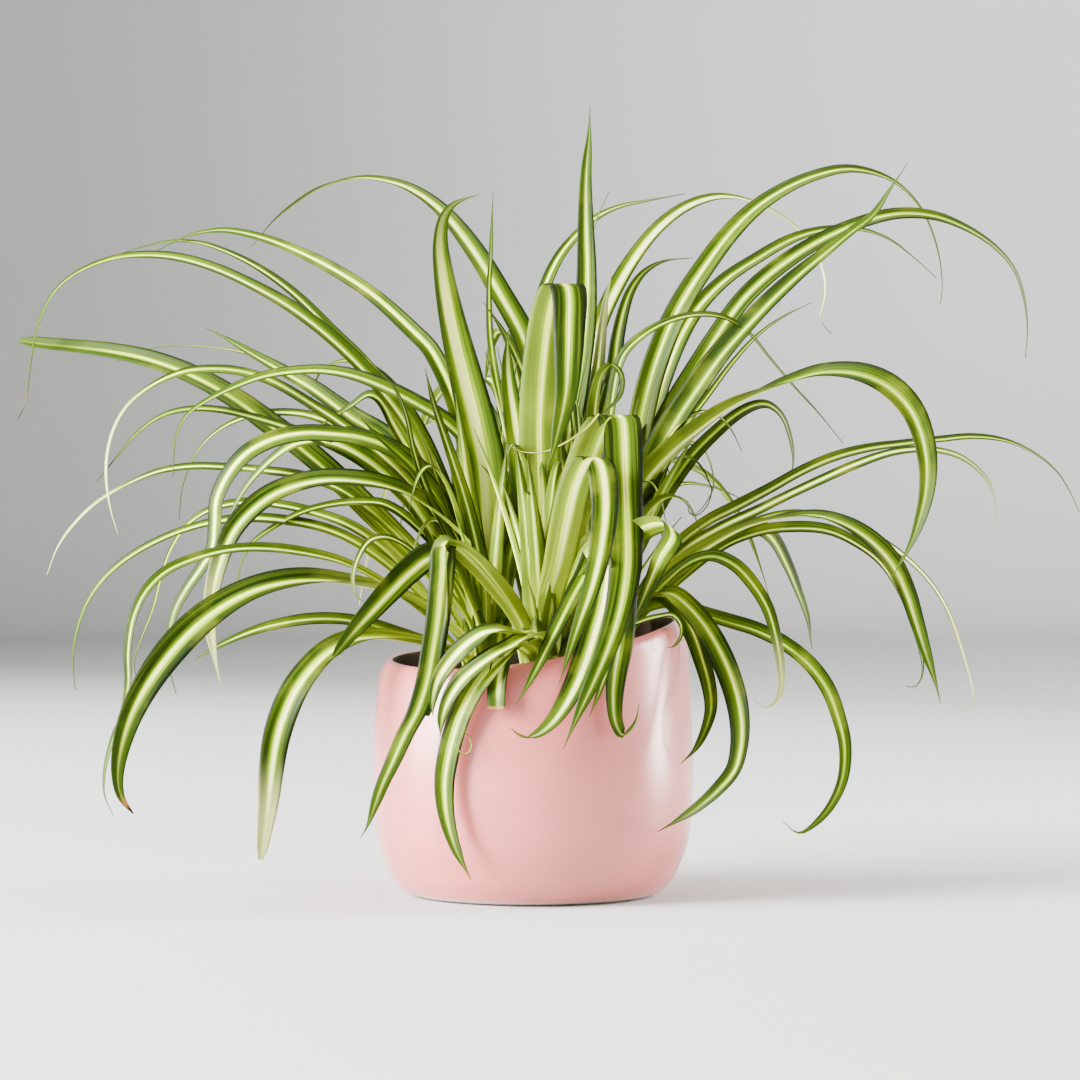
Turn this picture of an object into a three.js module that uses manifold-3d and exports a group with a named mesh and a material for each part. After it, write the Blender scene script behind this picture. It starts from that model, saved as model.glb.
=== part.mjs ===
// Potted spider plant: a pink glazed cover pot with a swept rim, potting mix
// inside it, and four leafy crowns standing in plain holes in the mix.
// Millimetres, +Z up, the pot's axis on Z, its base on z = 0, front towards -Y.

import * as THREE from "three";
import { mergeVertices } from "three/addons/utils/BufferGeometryUtils.js";
import Module from "manifold-3d";

// Front view that the leaf routes are read in: across and up, in mm on the
// plane through the pot's axis, seen from EYE_DISTANCE at the height EYE_Z.
const EYE_X = 3.5;
const EYE_Z = 200;
const EYE_DISTANCE = 1900;

// Pot
const POT_SIDES = 44;
const POT_OUTER = [
  [58, 0], [64, 2], [69, 7], [72.2, 12], [77.7, 27], [79.6, 45], [80, 65], [79.2, 86],
  [77.4, 106], [75.8, 112], [73.6, 116.2], [71.4, 118],
];
const POT_INNER = [[69.6, 116.6], [69, 112], [69, 30], [65, 12], [58, 8]];
const RIM_LEVEL = 118;
const RIM_SWEEP = 21;
const RIM_SWEEP_FROM = -60;
const RIM_SWEEP_RUN = 135;
const RIM_SWEEP_POWER = 1.6;
const RIM_BACK_SLOPE = 0.06;
const SWEEP_STARTS_AT = 66;

// Potting mix
const GAP = 0.3;
const MIX_PROFILE = [[57.6, 8 + GAP], [64.6, 12.2], [69 - GAP, 30.2], [69 - GAP, 102.5]];
const MIX_TOP = [[62, 104.8], [34, 106.4]];
const MIX_TOP_Z = 107;

// Crowns: each stands on its own side of the hub, and its leaves keep to the
// quarter of the plan that lies on that side.
const HUB_X = 5;
const STEM_RADIUS = 12;
const STEM_TOP_RADIUS = 7;
const STEM_FOOT_Z = 88;
const STEM_TOP_Z = 150;
const STEM_SIDES = 16;
const LEAF_START_Z = 108;
const LEAF_START_RISE = 20;
const LEAF_START_OUT = 4;
const START_SHARE = 0.8;
const START_SPREAD = 13;
const GOLDEN = 0.618;
const SIDE_CLEARANCE = 0.8;
const CROWNS = {
  front: { x: HUB_X, y: -27, side: false, sign: -1 },
  left: { x: HUB_X - 29, y: 0, side: true, sign: -1 },
  right: { x: HUB_X + 28, y: 0, side: true, sign: 1 },
  back: { x: HUB_X, y: 28, side: false, sign: 1 },
};

// Leaf blades
const ROUTE_SAMPLES = 60;
const STATION_STEP = 44;
const TURN_COST = 34;
const BASE_WIDTH = 0.42;
const FULL_WIDTH_AT = 0.35;
const FLATNESS = 0.1;
const BLADE_TOP = 0.35;
const BLADE_UNDER = 0.75;
const KEEL_SLOPE = 0.3;
const CREASED_SLOPE = 0.06;

// One row per leaf: its crown, [width, tip width, taper], its place in depth
// [station, there, at the tip], its roll [base, tip] in degrees, and its route
// in the front view from just above the mix to the tip. Depth is a share of
// the crown's quarter for the side crowns, and the distance from the pot's
// axis in plan for the front and back crowns.
const LEAVES = [
  ["left", [10, 0.9, 3.7], [0.5, 0.5, 0.65], [55, 40], [[-26, 160], [-30, 205], [-38, 243],
    [-50, 270], [-60, 281], [-80, 299], [-100, 312], [-120, 322], [-138, 328.5], [-155, 331.5],
    [-170, 329.5], [-182, 324.5], [-193, 318.5]]],
  ["left", [8, 0.9, 3.1], [0.5, 0.5, 0.7], [40, 25], [[-30, 150], [-45, 200], [-65, 240],
    [-85, 266], [-100, 281], [-120, 300.5], [-140, 314.5], [-160, 323.5], [-172, 326],
    [-184, 325.8], [-200, 322], [-215, 316.5]]],
  ["left", [11, 0.9, 1.9], [0.5, 0.25, 0.3], [45, 40], [[-30, 150], [-45, 195], [-62, 233],
    [-80, 257], [-100, 277], [-120, 292.5], [-140, 304], [-160, 313], [-180, 318.3], [-200, 319],
    [-215, 316], [-230, 309], [-240, 299.5], [-247, 285], [-250, 271], [-252, 256],
    [-253.5, 246], [-257.5, 237]]],
  ["left", [14, 7, 3], [0.5, 0.3, 0.35], [50, 55], [[-32, 140], [-45, 155], [-60, 169],
    [-80, 189], [-100, 209], [-115, 222], [-130, 233.5], [-150, 248], [-170, 259], [-190, 266.5],
    [-210, 271], [-230, 273.5], [-245, 275], [-256, 276.5]]],
  ["left", [14, 0.9, 2.8], [0.5, 0.4, 0.55], [50, 50], [[-32, 150], [-45, 185], [-60, 213],
    [-75, 229], [-90, 238.5], [-110, 253], [-125, 261.5], [-140, 270], [-152, 277],
    [-164.5, 283.5]]],
  ["left", [4, 0.9, 2], [0.5, 0.6, 0.7], [30, 20], [[-34, 150], [-55, 195], [-85, 232],
    [-110, 254], [-130, 264.5], [-145, 270.5], [-160, 273], [-175, 274], [-190, 272.8],
    [-200, 269.5], [-208, 266]]],
  ["left", [8, 0.9, 3.4], [0.5, 0.15, 0.2], [42, 40], [[-30, 145], [-45, 180], [-65, 208],
    [-90, 230], [-112, 245], [-130, 255.5], [-145, 260.5], [-160, 262], [-175, 260.5],
    [-190, 254], [-202, 244.5], [-209, 233], [-212.5, 220], [-213, 206], [-211, 192],
    [-207.5, 180]]],
  ["left", [11.5, 0.9, 3.1], [0.5, 0, 0.1], [45, 35], [[-15, 150], [-11, 180], [-13, 198],
    [-20, 212], [-32, 225], [-45, 237], [-60, 246], [-75, 253.5], [-90, 259], [-105, 261.5],
    [-120, 261], [-135, 258.5], [-150, 253], [-162, 247], [-172, 240], [-178, 230],
    [-179.5, 218], [-180, 208]]],
  ["left", [7.5, 0.9, 3.4], [0.5, 0.1, 0.2], [45, 40], [[-30, 140], [-48, 175], [-65, 198],
    [-85, 215], [-105, 226], [-125, 233.5], [-140, 238], [-155, 241.5], [-170, 242.3],
    [-185, 239], [-198, 230], [-208, 218.5], [-218, 206.5]]],
  ["left", [7.5, 0.9, 3.4], [0.5, 0.35, 0.4], [42, 40], [[-32, 140], [-50, 180], [-72, 212],
    [-95, 232], [-112, 239], [-128, 240.5], [-142, 238.5], [-155, 233], [-165, 224.5],
    [-171.5, 214], [-175.5, 202], [-177, 187]]],
  ["left", [12.5, 0.9, 4], [0.5, -0.1, -0.1], [48, 45], [[-26, 145], [-35, 175], [-45, 195],
    [-56, 210], [-70, 221], [-85, 227], [-100, 229], [-115, 229.5], [-130, 226.5],
    [-143, 219.5], [-152, 209], [-157.5, 197], [-158.5, 184], [-160, 172], [-166, 162],
    [-173, 152], [-178.5, 142], [-181.5, 130], [-182, 115], [-178.5, 100]]],
  ["left", [10.5, 0.9, 3.4], [0.5, 0.2, 0.25], [50, 45], [[-28, 145], [-42, 185], [-58, 215],
    [-69, 234], [-76, 246.5], [-82, 249.5], [-90, 244.5], [-100, 238], [-112, 230.5]]],
  ["left", [14, 0.9, 4], [0.5, -0.25, -0.3], [25, 70], [[-21, 140], [-23, 160], [-32, 175],
    [-44, 187], [-58, 197.5], [-72, 203.5], [-87, 206.5], [-103, 207.3], [-117, 205],
    [-130, 200], [-142, 191], [-151, 180], [-157, 165], [-160.5, 150], [-161.5, 135],
    [-159.5, 120], [-156, 104]]],
  ["left", [7, 0.9, 3.4], [0.5, 0.05, 0.05], [45, 40], [[-30, 140], [-45, 168], [-60, 185],
    [-74, 194.5], [-88, 195.8], [-102, 194.3], [-116, 190.5], [-130, 183], [-141, 174.5],
    [-146.5, 163], [-147.5, 150]]],
  ["left", [7, 0.9, 3.7], [0.5, 0.2, 0.25], [42, 38], [[-34, 130], [-52, 160], [-72, 183],
    [-95, 201], [-115, 208.5], [-135, 211.5], [-152, 213], [-170, 213.5], [-187, 211],
    [-203, 204.5], [-218, 195.5], [-230, 184], [-238, 172.5], [-243, 159.5]]],
  ["left", [7.5, 0.9, 3.4], [0.5, 0.05, 0.1], [42, 38], [[-35, 125], [-52, 145], [-70, 162],
    [-88, 175], [-105, 182.5], [-125, 186.5], [-145, 187.5], [-165, 184.5], [-183, 178.5],
    [-200, 169.5], [-213, 159], [-222, 147], [-227.5, 133], [-230, 118], [-229, 102]]],
  ["left", [7, 0.9, 3.4], [0.5, 0.3, 0.3], [42, 40], [[-38, 130], [-55, 150], [-72, 170],
    [-90, 183], [-108, 190], [-128, 194.5], [-145, 195.5], [-160, 192.5], [-172, 185],
    [-181, 172], [-186, 157], [-190, 142], [-195.5, 128], [-199.5, 116], [-198, 106]]],
  ["left", [7, 0.9, 2.8], [0.5, -0.35, -0.4], [45, 40], [[-38, 122], [-55, 140], [-75, 155],
    [-95, 165.5], [-115, 170.5], [-135, 172.8], [-152, 172], [-170, 167.5], [-184, 161],
    [-194, 151], [-200, 138], [-202.5, 122], [-202.5, 105], [-205, 90], [-210, 78],
    [-214, 63], [-214.5, 50], [-210, 39]]],
  ["left", [19, 1.2, 4], [0.5, -0.4, -0.45], [12, 80], [[-32, 122], [-45, 136], [-60, 146],
    [-75, 151.5], [-92, 155], [-110, 156.5], [-126, 155], [-142, 150.5], [-157, 142.5],
    [-171, 131.5], [-183.5, 118], [-193.5, 104], [-201.5, 88.5], [-206.5, 72], [-208, 58],
    [-206, 48], [-200, 40]]],
  ["left", [8.5, 0.9, 4], [0.5, -0.2, -0.2], [45, 45], [[-36, 118], [-52, 124.5],
    [-68, 130], [-82, 134.5], [-97, 137], [-112, 137], [-128, 134.5], [-142, 130.5],
    [-156, 124.5], [-170, 117]]],
  ["left", [15, 4.5, 5], [0.5, -0.55, -0.6], [15, 75], [[-36, 119], [-50, 123.5],
    [-64, 126.5], [-78, 127.8], [-90, 126.5], [-101, 121.5], [-110, 113.5], [-118, 103],
    [-124, 91], [-128.5, 77], [-131, 62], [-132.5, 48], [-134.5, 33], [-136.5, 17]]],
  ["left", [14, 3, 4], [0.5, -0.8, -0.8], [60, 65], [[-28, 135], [-34, 152], [-41, 165],
    [-51, 169], [-62, 161.5], [-72, 151.5], [-82, 140.5], [-92, 129], [-100, 118.5]]],
  ["left", [22, 0.9, 2.6], [0.5, -0.3, -0.3], [130, 115], [[-21, 150], [-22, 185], [-24, 215],
    [-28, 235], [-33, 255], [-38, 275], [-42, 293], [-45, 310], [-46.5, 325], [-45, 337],
    [-41, 343.5], [-35, 347], [-27, 349.5]]],
  ["left", [9, 0.9, 3.1], [0.5, 0.5, 0.6], [40, 30], [[-28, 150], [-40, 190], [-52, 222],
    [-64, 244], [-75, 258], [-86, 265], [-97, 266], [-106, 261], [-110, 250], [-113, 238]]],
  ["left", [14, 0.9, 3.4], [0.5, -0.15, -0.2], [60, 50], [[-26, 140], [-34, 168], [-44, 190],
    [-54, 206], [-63, 216], [-72, 224], [-80, 231], [-86, 238]]],
  ["left", [10.5, 0.9, 3.7], [0.5, 0.1, 0.15], [50, 45], [[-30, 135], [-45, 170], [-58, 192],
    [-72, 208], [-88, 220], [-103, 226], [-118, 225], [-130, 217.5], [-142, 205],
    [-150, 192], [-155, 180]]],
  ["left", [7, 0.9, 2.8], [0.5, -0.2, -0.2], [55, 50], [[-28, 145], [-42, 178], [-54, 203],
    [-60, 222], [-64, 240], [-70, 254], [-78, 262]]],
  ["left", [8, 0.9, 3.1], [0.5, -0.4, -0.4], [85, 85], [[-24, 150], [-32, 190], [-42, 222],
    [-50, 246], [-54, 263]]],
  ["left", [6, 0.9, 2.1], [0.5, -0.5, -0.6], [50, 45], [[-32, 135], [-46, 155], [-60, 171],
    [-72, 178], [-81, 177], [-87, 169], [-90, 158], [-88, 149], [-83, 145]]],
  ["front", [12.5, 0.9, 4], [0.22, 82, 90], [0, 25], [[6, 122], [2, 126], [-5, 124.5],
    [-13, 119.5], [-21, 112.5], [-28, 104], [-34, 93.5], [-38.5, 82], [-42, 69], [-44, 56],
    [-43.5, 42], [-41, 30], [-37, 19], [-31, 7]]],
  ["front", [11.5, 0.9, 3.7], [0.25, 82, 88], [0, 40], [[7, 124], [3, 129], [-4, 127.5],
    [-11, 123.5], [-19, 119.5], [-28, 113.5], [-36, 106.5], [-42, 97.5], [-45.5, 88],
    [-46.5, 78]]],
  ["front", [11.5, 0.9, 3.4], [0.3, 80, 88], [10, 40], [[2, 122], [-6, 128.5], [-15, 131],
    [-24, 130], [-33, 124.5], [-41, 116.5], [-47, 107.5], [-50, 97], [-50, 88]]],
  ["front", [10, 9, 3], [0.3, 80, 84], [0, 0], [[-3, 120], [-9, 123.5], [-14, 119.5],
    [-16.5, 112], [-17.8, 103], [-18, 92]]],
  ["front", [12, 8, 3], [0.45, 76, 86], [0, 45], [[-8, 140], [-22, 160], [-34, 172],
    [-43, 175], [-46, 168], [-46.5, 155], [-47, 140], [-49, 127], [-51.5, 112], [-53, 101],
    [-54, 89]]],
  ["front", [12.5, 0.9, 6], [0.4, 80, 100], [0, 0], [[-6, 135], [-20, 155], [-32, 168], [-40, 174],
    [-44.5, 173], [-45, 165], [-46, 153], [-47.5, 138], [-50, 122], [-53, 106.5], [-58, 91],
    [-64.5, 78.5], [-70, 66], [-75.5, 54], [-79.5, 43], [-83, 33.5], [-87, 27]], 8],
  ["front", [21, 0.9, 4.4], [0.5, 50, 64], [0, 0], [[5, 150], [5, 185], [4, 213], [3.5, 235],
    [4.5, 257], [7, 281], [10, 297], [13.5, 304.5], [17, 304.5], [18.4, 297], [18.2, 285],
    [17.8, 269], [16.6, 249.5], [11.7, 227.5], [6.4, 210]], 0],
  ["front", [11, 0.9, 2.2], [0.5, 40, 62], [0, 0], [[12, 150], [22, 190], [29, 225], [31, 248],
    [34, 260], [39, 264.5], [44, 259], [43.5, 250], [38, 243], [31, 238]]],
  ["front", [22, 0.9, 3.2], [0.35, 62, 97], [0, 0], [[10, 150], [18, 185], [26, 212], [33, 230],
    [38, 238], [41.5, 239.5], [43.5, 236], [44.5, 220], [45.2, 200], [46, 182], [46.2, 165],
    [44.5, 150], [41, 135], [36, 120], [30, 106], [24, 93], [15, 72]], 0],
  ["front", [18, 0.9, 2.4], [0.38, 66, 100], [0, 0], [[8, 145], [13, 165], [17, 185], [21, 203],
    [26, 215], [30, 218.5], [33, 216], [35, 208], [36, 193], [34, 174], [29.5, 154], [23, 135],
    [18, 120], [13, 105]], -5],
  ["front", [11.5, 0.9, 3.1], [0.5, 60, 90], [0, 10], [[14, 130], [22, 155], [29, 172],
    [33, 178], [31, 172], [26, 160], [20, 149], [14, 137], [8, 125], [2, 113], [-4, 102],
    [-8.5, 95]]],
  ["front", [16, 0.9, 4], [0.42, 70, 92], [0, 0], [[12, 135], [20, 156], [27, 169], [32, 173.5],
    [36, 170], [37, 160], [35, 146], [31, 132], [27, 119], [22.5, 107], [17, 96], [10, 86], [3, 80],
    [-3, 78], [-8, 80], [-11, 83]]],
  ["front", [9, 0.9, 3.1], [0.5, 64, 90], [0, 0], [[18, 140], [29, 162], [37.5, 173], [42, 174],
    [44.8, 168], [45, 159], [43.5, 145], [41, 130], [37.5, 115], [33, 101], [28, 88]]],
  ["front", [14, 0.9, 3.7], [0.45, 75, 93], [0, 25], [[18, 138], [28, 156], [36, 166], [42, 166],
    [45, 156], [45.5, 146], [45, 135], [43.5, 122], [41.5, 110], [40.5, 97], [41.5, 86], [45, 79.5],
    [49, 82], [52, 88], [53, 95]]],
  ["front", [15, 0.9, 2.8], [0.5, 60, 78], [0, 0], [[20, 128], [33, 155], [44, 173], [54, 182],
    [62, 185], [68, 184], [70, 178.5], [64.5, 169], [59.8, 158], [55.1, 147], [51.2, 137.8],
    [49.4, 128.4]], -38],
  ["front", [14, 0.9, 4], [0.5, 30, 34], [115, 115], [[4, 140], [2, 160], [-1, 180],
    [-4, 200], [-7, 220], [-10, 240], [-12.5, 258], [-13, 272], [-12, 283]]],
  ["right", [17, 0.9, 4], [0.5, -0.2, -0.25], [-40, 100], [[36, 140], [44, 175], [55, 203],
    [68, 219], [82, 231], [97, 242], [112, 250], [128, 256], [144, 260.5], [160, 260.5],
    [172, 257], [182, 250.5], [190, 241], [195, 229], [197.5, 215], [197, 201], [194, 188],
    [190, 177], [185, 167.5], [179.5, 158.5]]],
  ["right", [14, 0.9, 2.6], [0.5, 0.3, 0.35], [60, 30], [[38, 150], [45, 190], [52, 225],
    [58, 253], [66, 277], [75, 296], [86, 313], [98, 329], [111, 342], [126, 352],
    [141, 358.5], [156, 361.8], [170, 360], [182, 354.5], [192, 345], [198.5, 333],
    [203, 318], [204.5, 303], [203.5, 295]]],
  ["right", [10.5, 0.9, 3.1], [0.5, 0.6, 0.7], [45, 40], [[38, 150], [48, 195], [58, 235],
    [70, 270], [81, 291], [95, 306], [112, 317.5], [130, 327.5], [147, 332], [163, 332],
    [178, 327], [191, 317.5], [201.5, 308]]],
  ["right", [7, 0.9, 2.5], [0.4, -0.1, 0.2], [42, 38], [[34, 150], [36, 190], [38, 225],
    [40, 250], [45, 269], [56, 280], [70, 287], [84, 289.5], [97, 287.5], [108, 280],
    [118, 268], [130, 254], [143, 240], [155, 225.5]]],
  ["right", [16, 0.9, 2.4], [0.5, 0.05, 0.1], [60, 45], [[36, 140], [44, 170], [54, 200],
    [67, 230], [81, 252], [94, 270], [107, 284.5], [119, 297], [132, 309], [146, 320.5],
    [159, 331], [170, 339.5], [179, 353], [187, 365]]],
  ["right", [11.5, 0.9, 3.7], [0.5, 0.2, 0.25], [50, 45], [[38, 140], [46, 178], [56, 212],
    [68, 239], [81, 261], [93, 280], [105, 296.5], [118, 309], [133, 320], [149, 329], [165, 335.5],
    [182, 339.5], [200, 338.5], [216, 332.5], [230, 323.5], [240, 312], [245, 298],
    [247, 283], [246, 268]]],
  ["right", [6, 0.9, 2], [0.5, 0.4, 0.45], [45, 35], [[38, 140], [50, 180], [63, 212],
    [76, 234], [88, 250], [100, 266], [112, 279], [125, 288.5], [139, 295.5]]],
  ["right", [9, 0.9, 3.7], [0.5, 0.45, 0.4], [45, 60], [[40, 140], [56, 180], [76, 214],
    [95, 234], [108, 243], [117, 244.5], [124, 239], [128, 229], [130, 217], [128.5, 206]]],
  ["right", [7.5, 0.9, 3.4], [0.5, 0.25, 0.25], [45, 35], [[40, 128], [54, 150], [70, 172],
    [86, 185], [103, 194], [118, 202], [134, 211], [150, 218], [167, 222.5], [185, 225],
    [203, 227], [220, 228.5], [236, 226.5], [250, 220.5], [261, 212], [268, 202],
    [273, 191]]],
  ["right", [7.5, 0.9, 3.7], [0.5, 0, 0], [42, 45], [[40, 125], [55, 148], [74, 170],
    [93, 182], [112, 191], [128, 199], [145, 207], [162, 214.5], [180, 220.5], [197, 222],
    [212, 219], [223, 211.5], [229.5, 202], [231.5, 192], [230.5, 184]]],
  ["right", [13, 0.9, 4.3], [0.5, -0.2, -0.2], [-25, 90], [[38, 124], [52, 142], [70, 160],
    [88, 173], [106, 183], [124, 188], [142, 189], [157, 184.5], [170, 176], [180, 165],
    [187, 151], [192, 136], [197, 120], [201, 107], [204, 95]]],
  ["right", [6, 0.9, 2.6], [0.5, 0.1, 0.1], [40, 45], [[40, 124], [58, 146], [80, 168],
    [103, 182], [125, 189.5], [146, 188.5], [162, 182.5], [176, 175.5], [188, 166.5],
    [199, 155], [207, 142], [213, 126], [217.5, 111], [220, 100], [218.5, 94], [214.5, 92],
    [212.5, 97.5]]],
  ["right", [9, 0.9, 3.1], [0.5, -0.05, -0.05], [42, 45], [[40, 122], [56, 140], [76, 159],
    [96, 174], [114, 181], [132, 183], [148, 181.5], [162, 175], [174, 165.5], [184, 150],
    [190.5, 133], [194.5, 118], [194.5, 109], [191, 103.5], [186.5, 104]]],
  ["right", [9, 0.9, 3.1], [0.5, -0.35, -0.4], [45, 50], [[38, 122], [50, 138], [64, 153],
    [78, 165], [90, 168.5], [101, 164], [110, 154.5], [117, 143], [121, 130], [123.5, 116],
    [124, 104], [121, 96], [115.5, 93.5], [111, 97]]],
  ["right", [14, 0.9, 3.1], [0.5, 0.35, 0.35], [50, 65], [[42, 124], [58, 148], [78, 168],
    [96, 180], [110, 183.5], [119, 178], [126, 166], [132, 152], [137, 138],
    [139.5, 122.5]]],
  ["right", [9, 0.9, 4], [0.5, -0.3, -0.4], [42, 60], [[38, 122], [50, 136], [62, 143],
    [73, 144], [84, 140], [97, 136], [112, 131.5], [126, 124.5], [138, 115], [147, 103],
    [152.5, 89], [156, 74], [155, 58], [149.5, 45], [141, 35], [133, 30.5], [125, 36]]],
  ["right", [12.5, 0.9, 4], [0.5, -0.45, -0.93], [15, 75], [[38, 122], [48, 138], [58, 148],
    [68, 149.5], [77, 143], [85.5, 133], [92.5, 121.5], [98, 109.5], [102, 97], [104, 84],
    [103.5, 72], [100.5, 61.5], [92, 51.5], [82, 43], [72, 36.5], [62.5, 31]]],
  ["right", [10.5, 0.9, 3.4], [0.5, -0.35, -0.6], [50, 50], [[37, 121], [46, 137], [56, 147],
    [66, 148.5], [74, 141.5], [80, 130], [84.5, 117], [88, 104], [89, 93], [86.5, 83],
    [81.5, 73], [74, 65]]],
  ["right", [4, 0.9, 2.1], [0.5, 0.5, 0.6], [45, 45], [[42, 140], [54, 175], [64, 203],
    [74, 213], [83, 210.5], [89, 203.5], [87.5, 195], [82, 189.5], [78, 191], [77.5, 197]]],
  ["right", [4, 0.9, 2.1], [0.5, 0.7, 0.7], [40, 40], [[42, 140], [54, 175], [64, 199],
    [75, 205], [87, 204], [98, 200.5], [108, 195]]],
  ["right", [4.5, 0.9, 2.6], [0.5, 0.75, 0.7], [45, 50], [[42, 145], [55, 190], [67, 215],
    [77, 225], [84.5, 223], [89, 214], [90, 203], [85, 193.5], [80, 189]]],
  ["right", [11.5, 0.9, 3.1], [0.5, -0.1, -0.1], [60, 55], [[38, 135], [47, 162], [56, 185],
    [63, 203], [69, 217]]],
  ["right", [3.5, 0.9, 3], [0.5, -0.6, -0.75], [60, 60], [[40, 122], [48, 133], [56, 137],
    [64, 139], [70, 139.5], [74, 135], [74, 128.5], [70.5, 124], [67, 123]]],
  ["back", [14, 0.9, 3.4], [0.5, 60, 200], [50, 10], [[8, 160], [8, 205], [5, 243],
    [-4, 277], [-17, 301], [-30, 322], [-45, 340.5], [-60, 351.5], [-75, 356.5],
    [-90, 357.3], [-105, 353.5], [-119, 345], [-130, 336], [-140, 324]]],
  ["back", [10.5, 0.9, 2.5], [0.5, 50, 120], [45, 30], [[10, 160], [16, 205], [24, 245],
    [32, 281], [42, 304], [54, 323], [66, 336], [79, 344.5], [93, 348.3], [107, 346.5],
    [121, 340.5], [133, 332], [141, 321.5], [145.5, 308], [145.5, 297], [143.5, 287.5],
    [149, 280]]],
  ["back", [6, 0.9, 2.1], [0.5, 40, 50], [45, 45], [[0, 160], [-8, 205], [-16, 245],
    [-21, 275], [-22, 300], [-21, 322], [-20, 351]]],
  ["back", [14, 0.9, 3.5], [0.5, 30, 34], [100, 95], [[7, 150], [11, 190], [17, 225],
    [22, 255], [26, 285], [27, 310], [26.5, 335], [26.5, 358], [28, 378], [28.5, 394]]],
  ["back", [10.5, 0.9, 2.8], [0.5, 40, 90], [40, 30], [[2, 160], [-2, 205], [-2, 245],
    [0, 275], [5, 299], [12, 316], [21, 328], [32, 338], [44, 343.5], [58, 346.5],
    [76, 350]]],
  ["back", [12.5, 0.9, 2.8], [0.5, 44, 80], [30, 30], [[12, 150], [22, 190], [32, 225],
    [40, 258], [43, 280], [48, 299], [55, 310], [65, 316], [80, 318]]],
  ["back", [8, 0.9, 3.1], [0.5, 30, 40], [75, 65], [[8, 150], [8, 190], [4, 225], [-2, 252],
    [-10, 272], [-18, 286], [-25, 296]]],
  ["back", [10.5, 0.9, 3.1], [0.5, 36, 40], [60, 55], [[10, 150], [18, 190], [26, 225], [32, 258],
    [35, 285], [37, 300], [40, 312]]],
  ["back", [4.5, 0.9, 2.1], [0.5, 40, 60], [20, 20], [[6, 160], [10, 210], [16, 260],
    [24, 305], [31, 335], [38, 351]]],
];

// Leaves that the front view hides, drawn by a seeded rule: for each crown the
// number of leaves, how far they reach, how high they arch, where the tip ends
// below the top of the arch, and their widths, each as [least, most].
const SEED = 20897;
const FILL = [
  { crown: "back", count: 8, reach: [150, 245], rise: [90, 160], drop: [60, 150], width: [8, 13] },
  { crown: "back", count: 5, reach: [30, 90], rise: [70, 140], drop: [0, 30], width: [9, 13] },
  { crown: "left", count: 3, reach: [25, 70], rise: [60, 120], drop: [0, 25], width: [8, 12] },
  { crown: "right", count: 5, reach: [30, 90], rise: [60, 130], drop: [0, 30], width: [8, 12] },
  { crown: "front", count: 5, reach: [15, 45], rise: [50, 85], drop: [-45, -15], width: [10, 13] },
];
const FILL_SPREAD = 38;
const FILL_TAPER = 2.2;
const FILL_ROLL = 25;

const TIP_WIDTH = 0.9;
const RAD = Math.PI / 180;

const solids = await Module();
solids.setup();

function mix(a, b, t) {
  return a + (b - a) * t;
}

function ease(t) {
  const s = Math.min(1, Math.max(0, t));
  return s * s * (3 - 2 * s);
}

// Rim of the pot: the upper part of every wall is lifted by this much
function rimLift(x, y) {
  const t = Math.min(1, Math.max(0, (x - RIM_SWEEP_FROM) / RIM_SWEEP_RUN));
  return RIM_SWEEP * t ** RIM_SWEEP_POWER + RIM_BACK_SLOPE * y;
}

function sweptPoint(radius, z, angle) {
  const x = radius * Math.cos(angle);
  const y = radius * Math.sin(angle);
  const share = ease((z - SWEEP_STARTS_AT) / (RIM_LEVEL - SWEEP_STARTS_AT));
  return [x, y, z + rimLift(x, y) * share];
}

// Closed solid of revolution from its profile, with a point on the axis at
// each end and every ring placed by the function given
function spun(bottomZ, profile, topZ, sides, place) {
  const vertices = [0, 0, bottomZ];
  for (const [radius, z] of profile) {
    for (let i = 0; i < sides; i++) {
      vertices.push(...place(radius, z, (i / sides) * 2 * Math.PI));
    }
  }
  vertices.push(0, 0, topZ);
  const last = profile.length * sides + 1;
  const faces = [];
  for (let i = 0; i < sides; i++) {
    const j = (i + 1) % sides;
    faces.push(0, 1 + j, 1 + i);
    for (let ring = 0; ring + 1 < profile.length; ring++) {
      const a = 1 + ring * sides;
      const b = a + sides;
      faces.push(a + i, a + j, b + j, a + i, b + j, b + i);
    }
    faces.push(last - sides + i, last - sides + j, last);
  }
  return solidFrom(vertices, faces);
}

function solidFrom(vertices, faces) {
  const mesh = new solids.Mesh({
    numProp: 3,
    vertProperties: new Float32Array(vertices),
    triVerts: new Uint32Array(faces),
  });
  return new solids.Manifold(mesh);
}

function round(radius, z, angle) {
  return [radius * Math.cos(angle), radius * Math.sin(angle), z];
}

function pot() {
  return spun(0, [...POT_OUTER, ...POT_INNER], POT_INNER.at(-1)[1], POT_SIDES, sweptPoint);
}

function stem(crown, clearance) {
  const foot = STEM_FOOT_Z - clearance;
  const profile = [
    [STEM_RADIUS - 2 + clearance, foot],
    [STEM_RADIUS + clearance, foot + 4],
    [STEM_RADIUS + clearance, clearance > 0 ? STEM_TOP_Z : STEM_TOP_Z - 10],
    [clearance > 0 ? STEM_RADIUS + clearance : STEM_TOP_RADIUS, STEM_TOP_Z],
  ];
  const used = clearance > 0 ? profile.slice(0, 3) : profile;
  return spun(foot, used, STEM_TOP_Z, STEM_SIDES, round).translate(crown.x, crown.y, 0);
}

function pottingMix() {
  let body = spun(8 + GAP, [...MIX_PROFILE, ...MIX_TOP], MIX_TOP_Z, POT_SIDES, round);
  for (const crown of Object.values(CROWNS)) {
    body = body.subtract(stem(crown, GAP));
  }
  return body;
}

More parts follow.
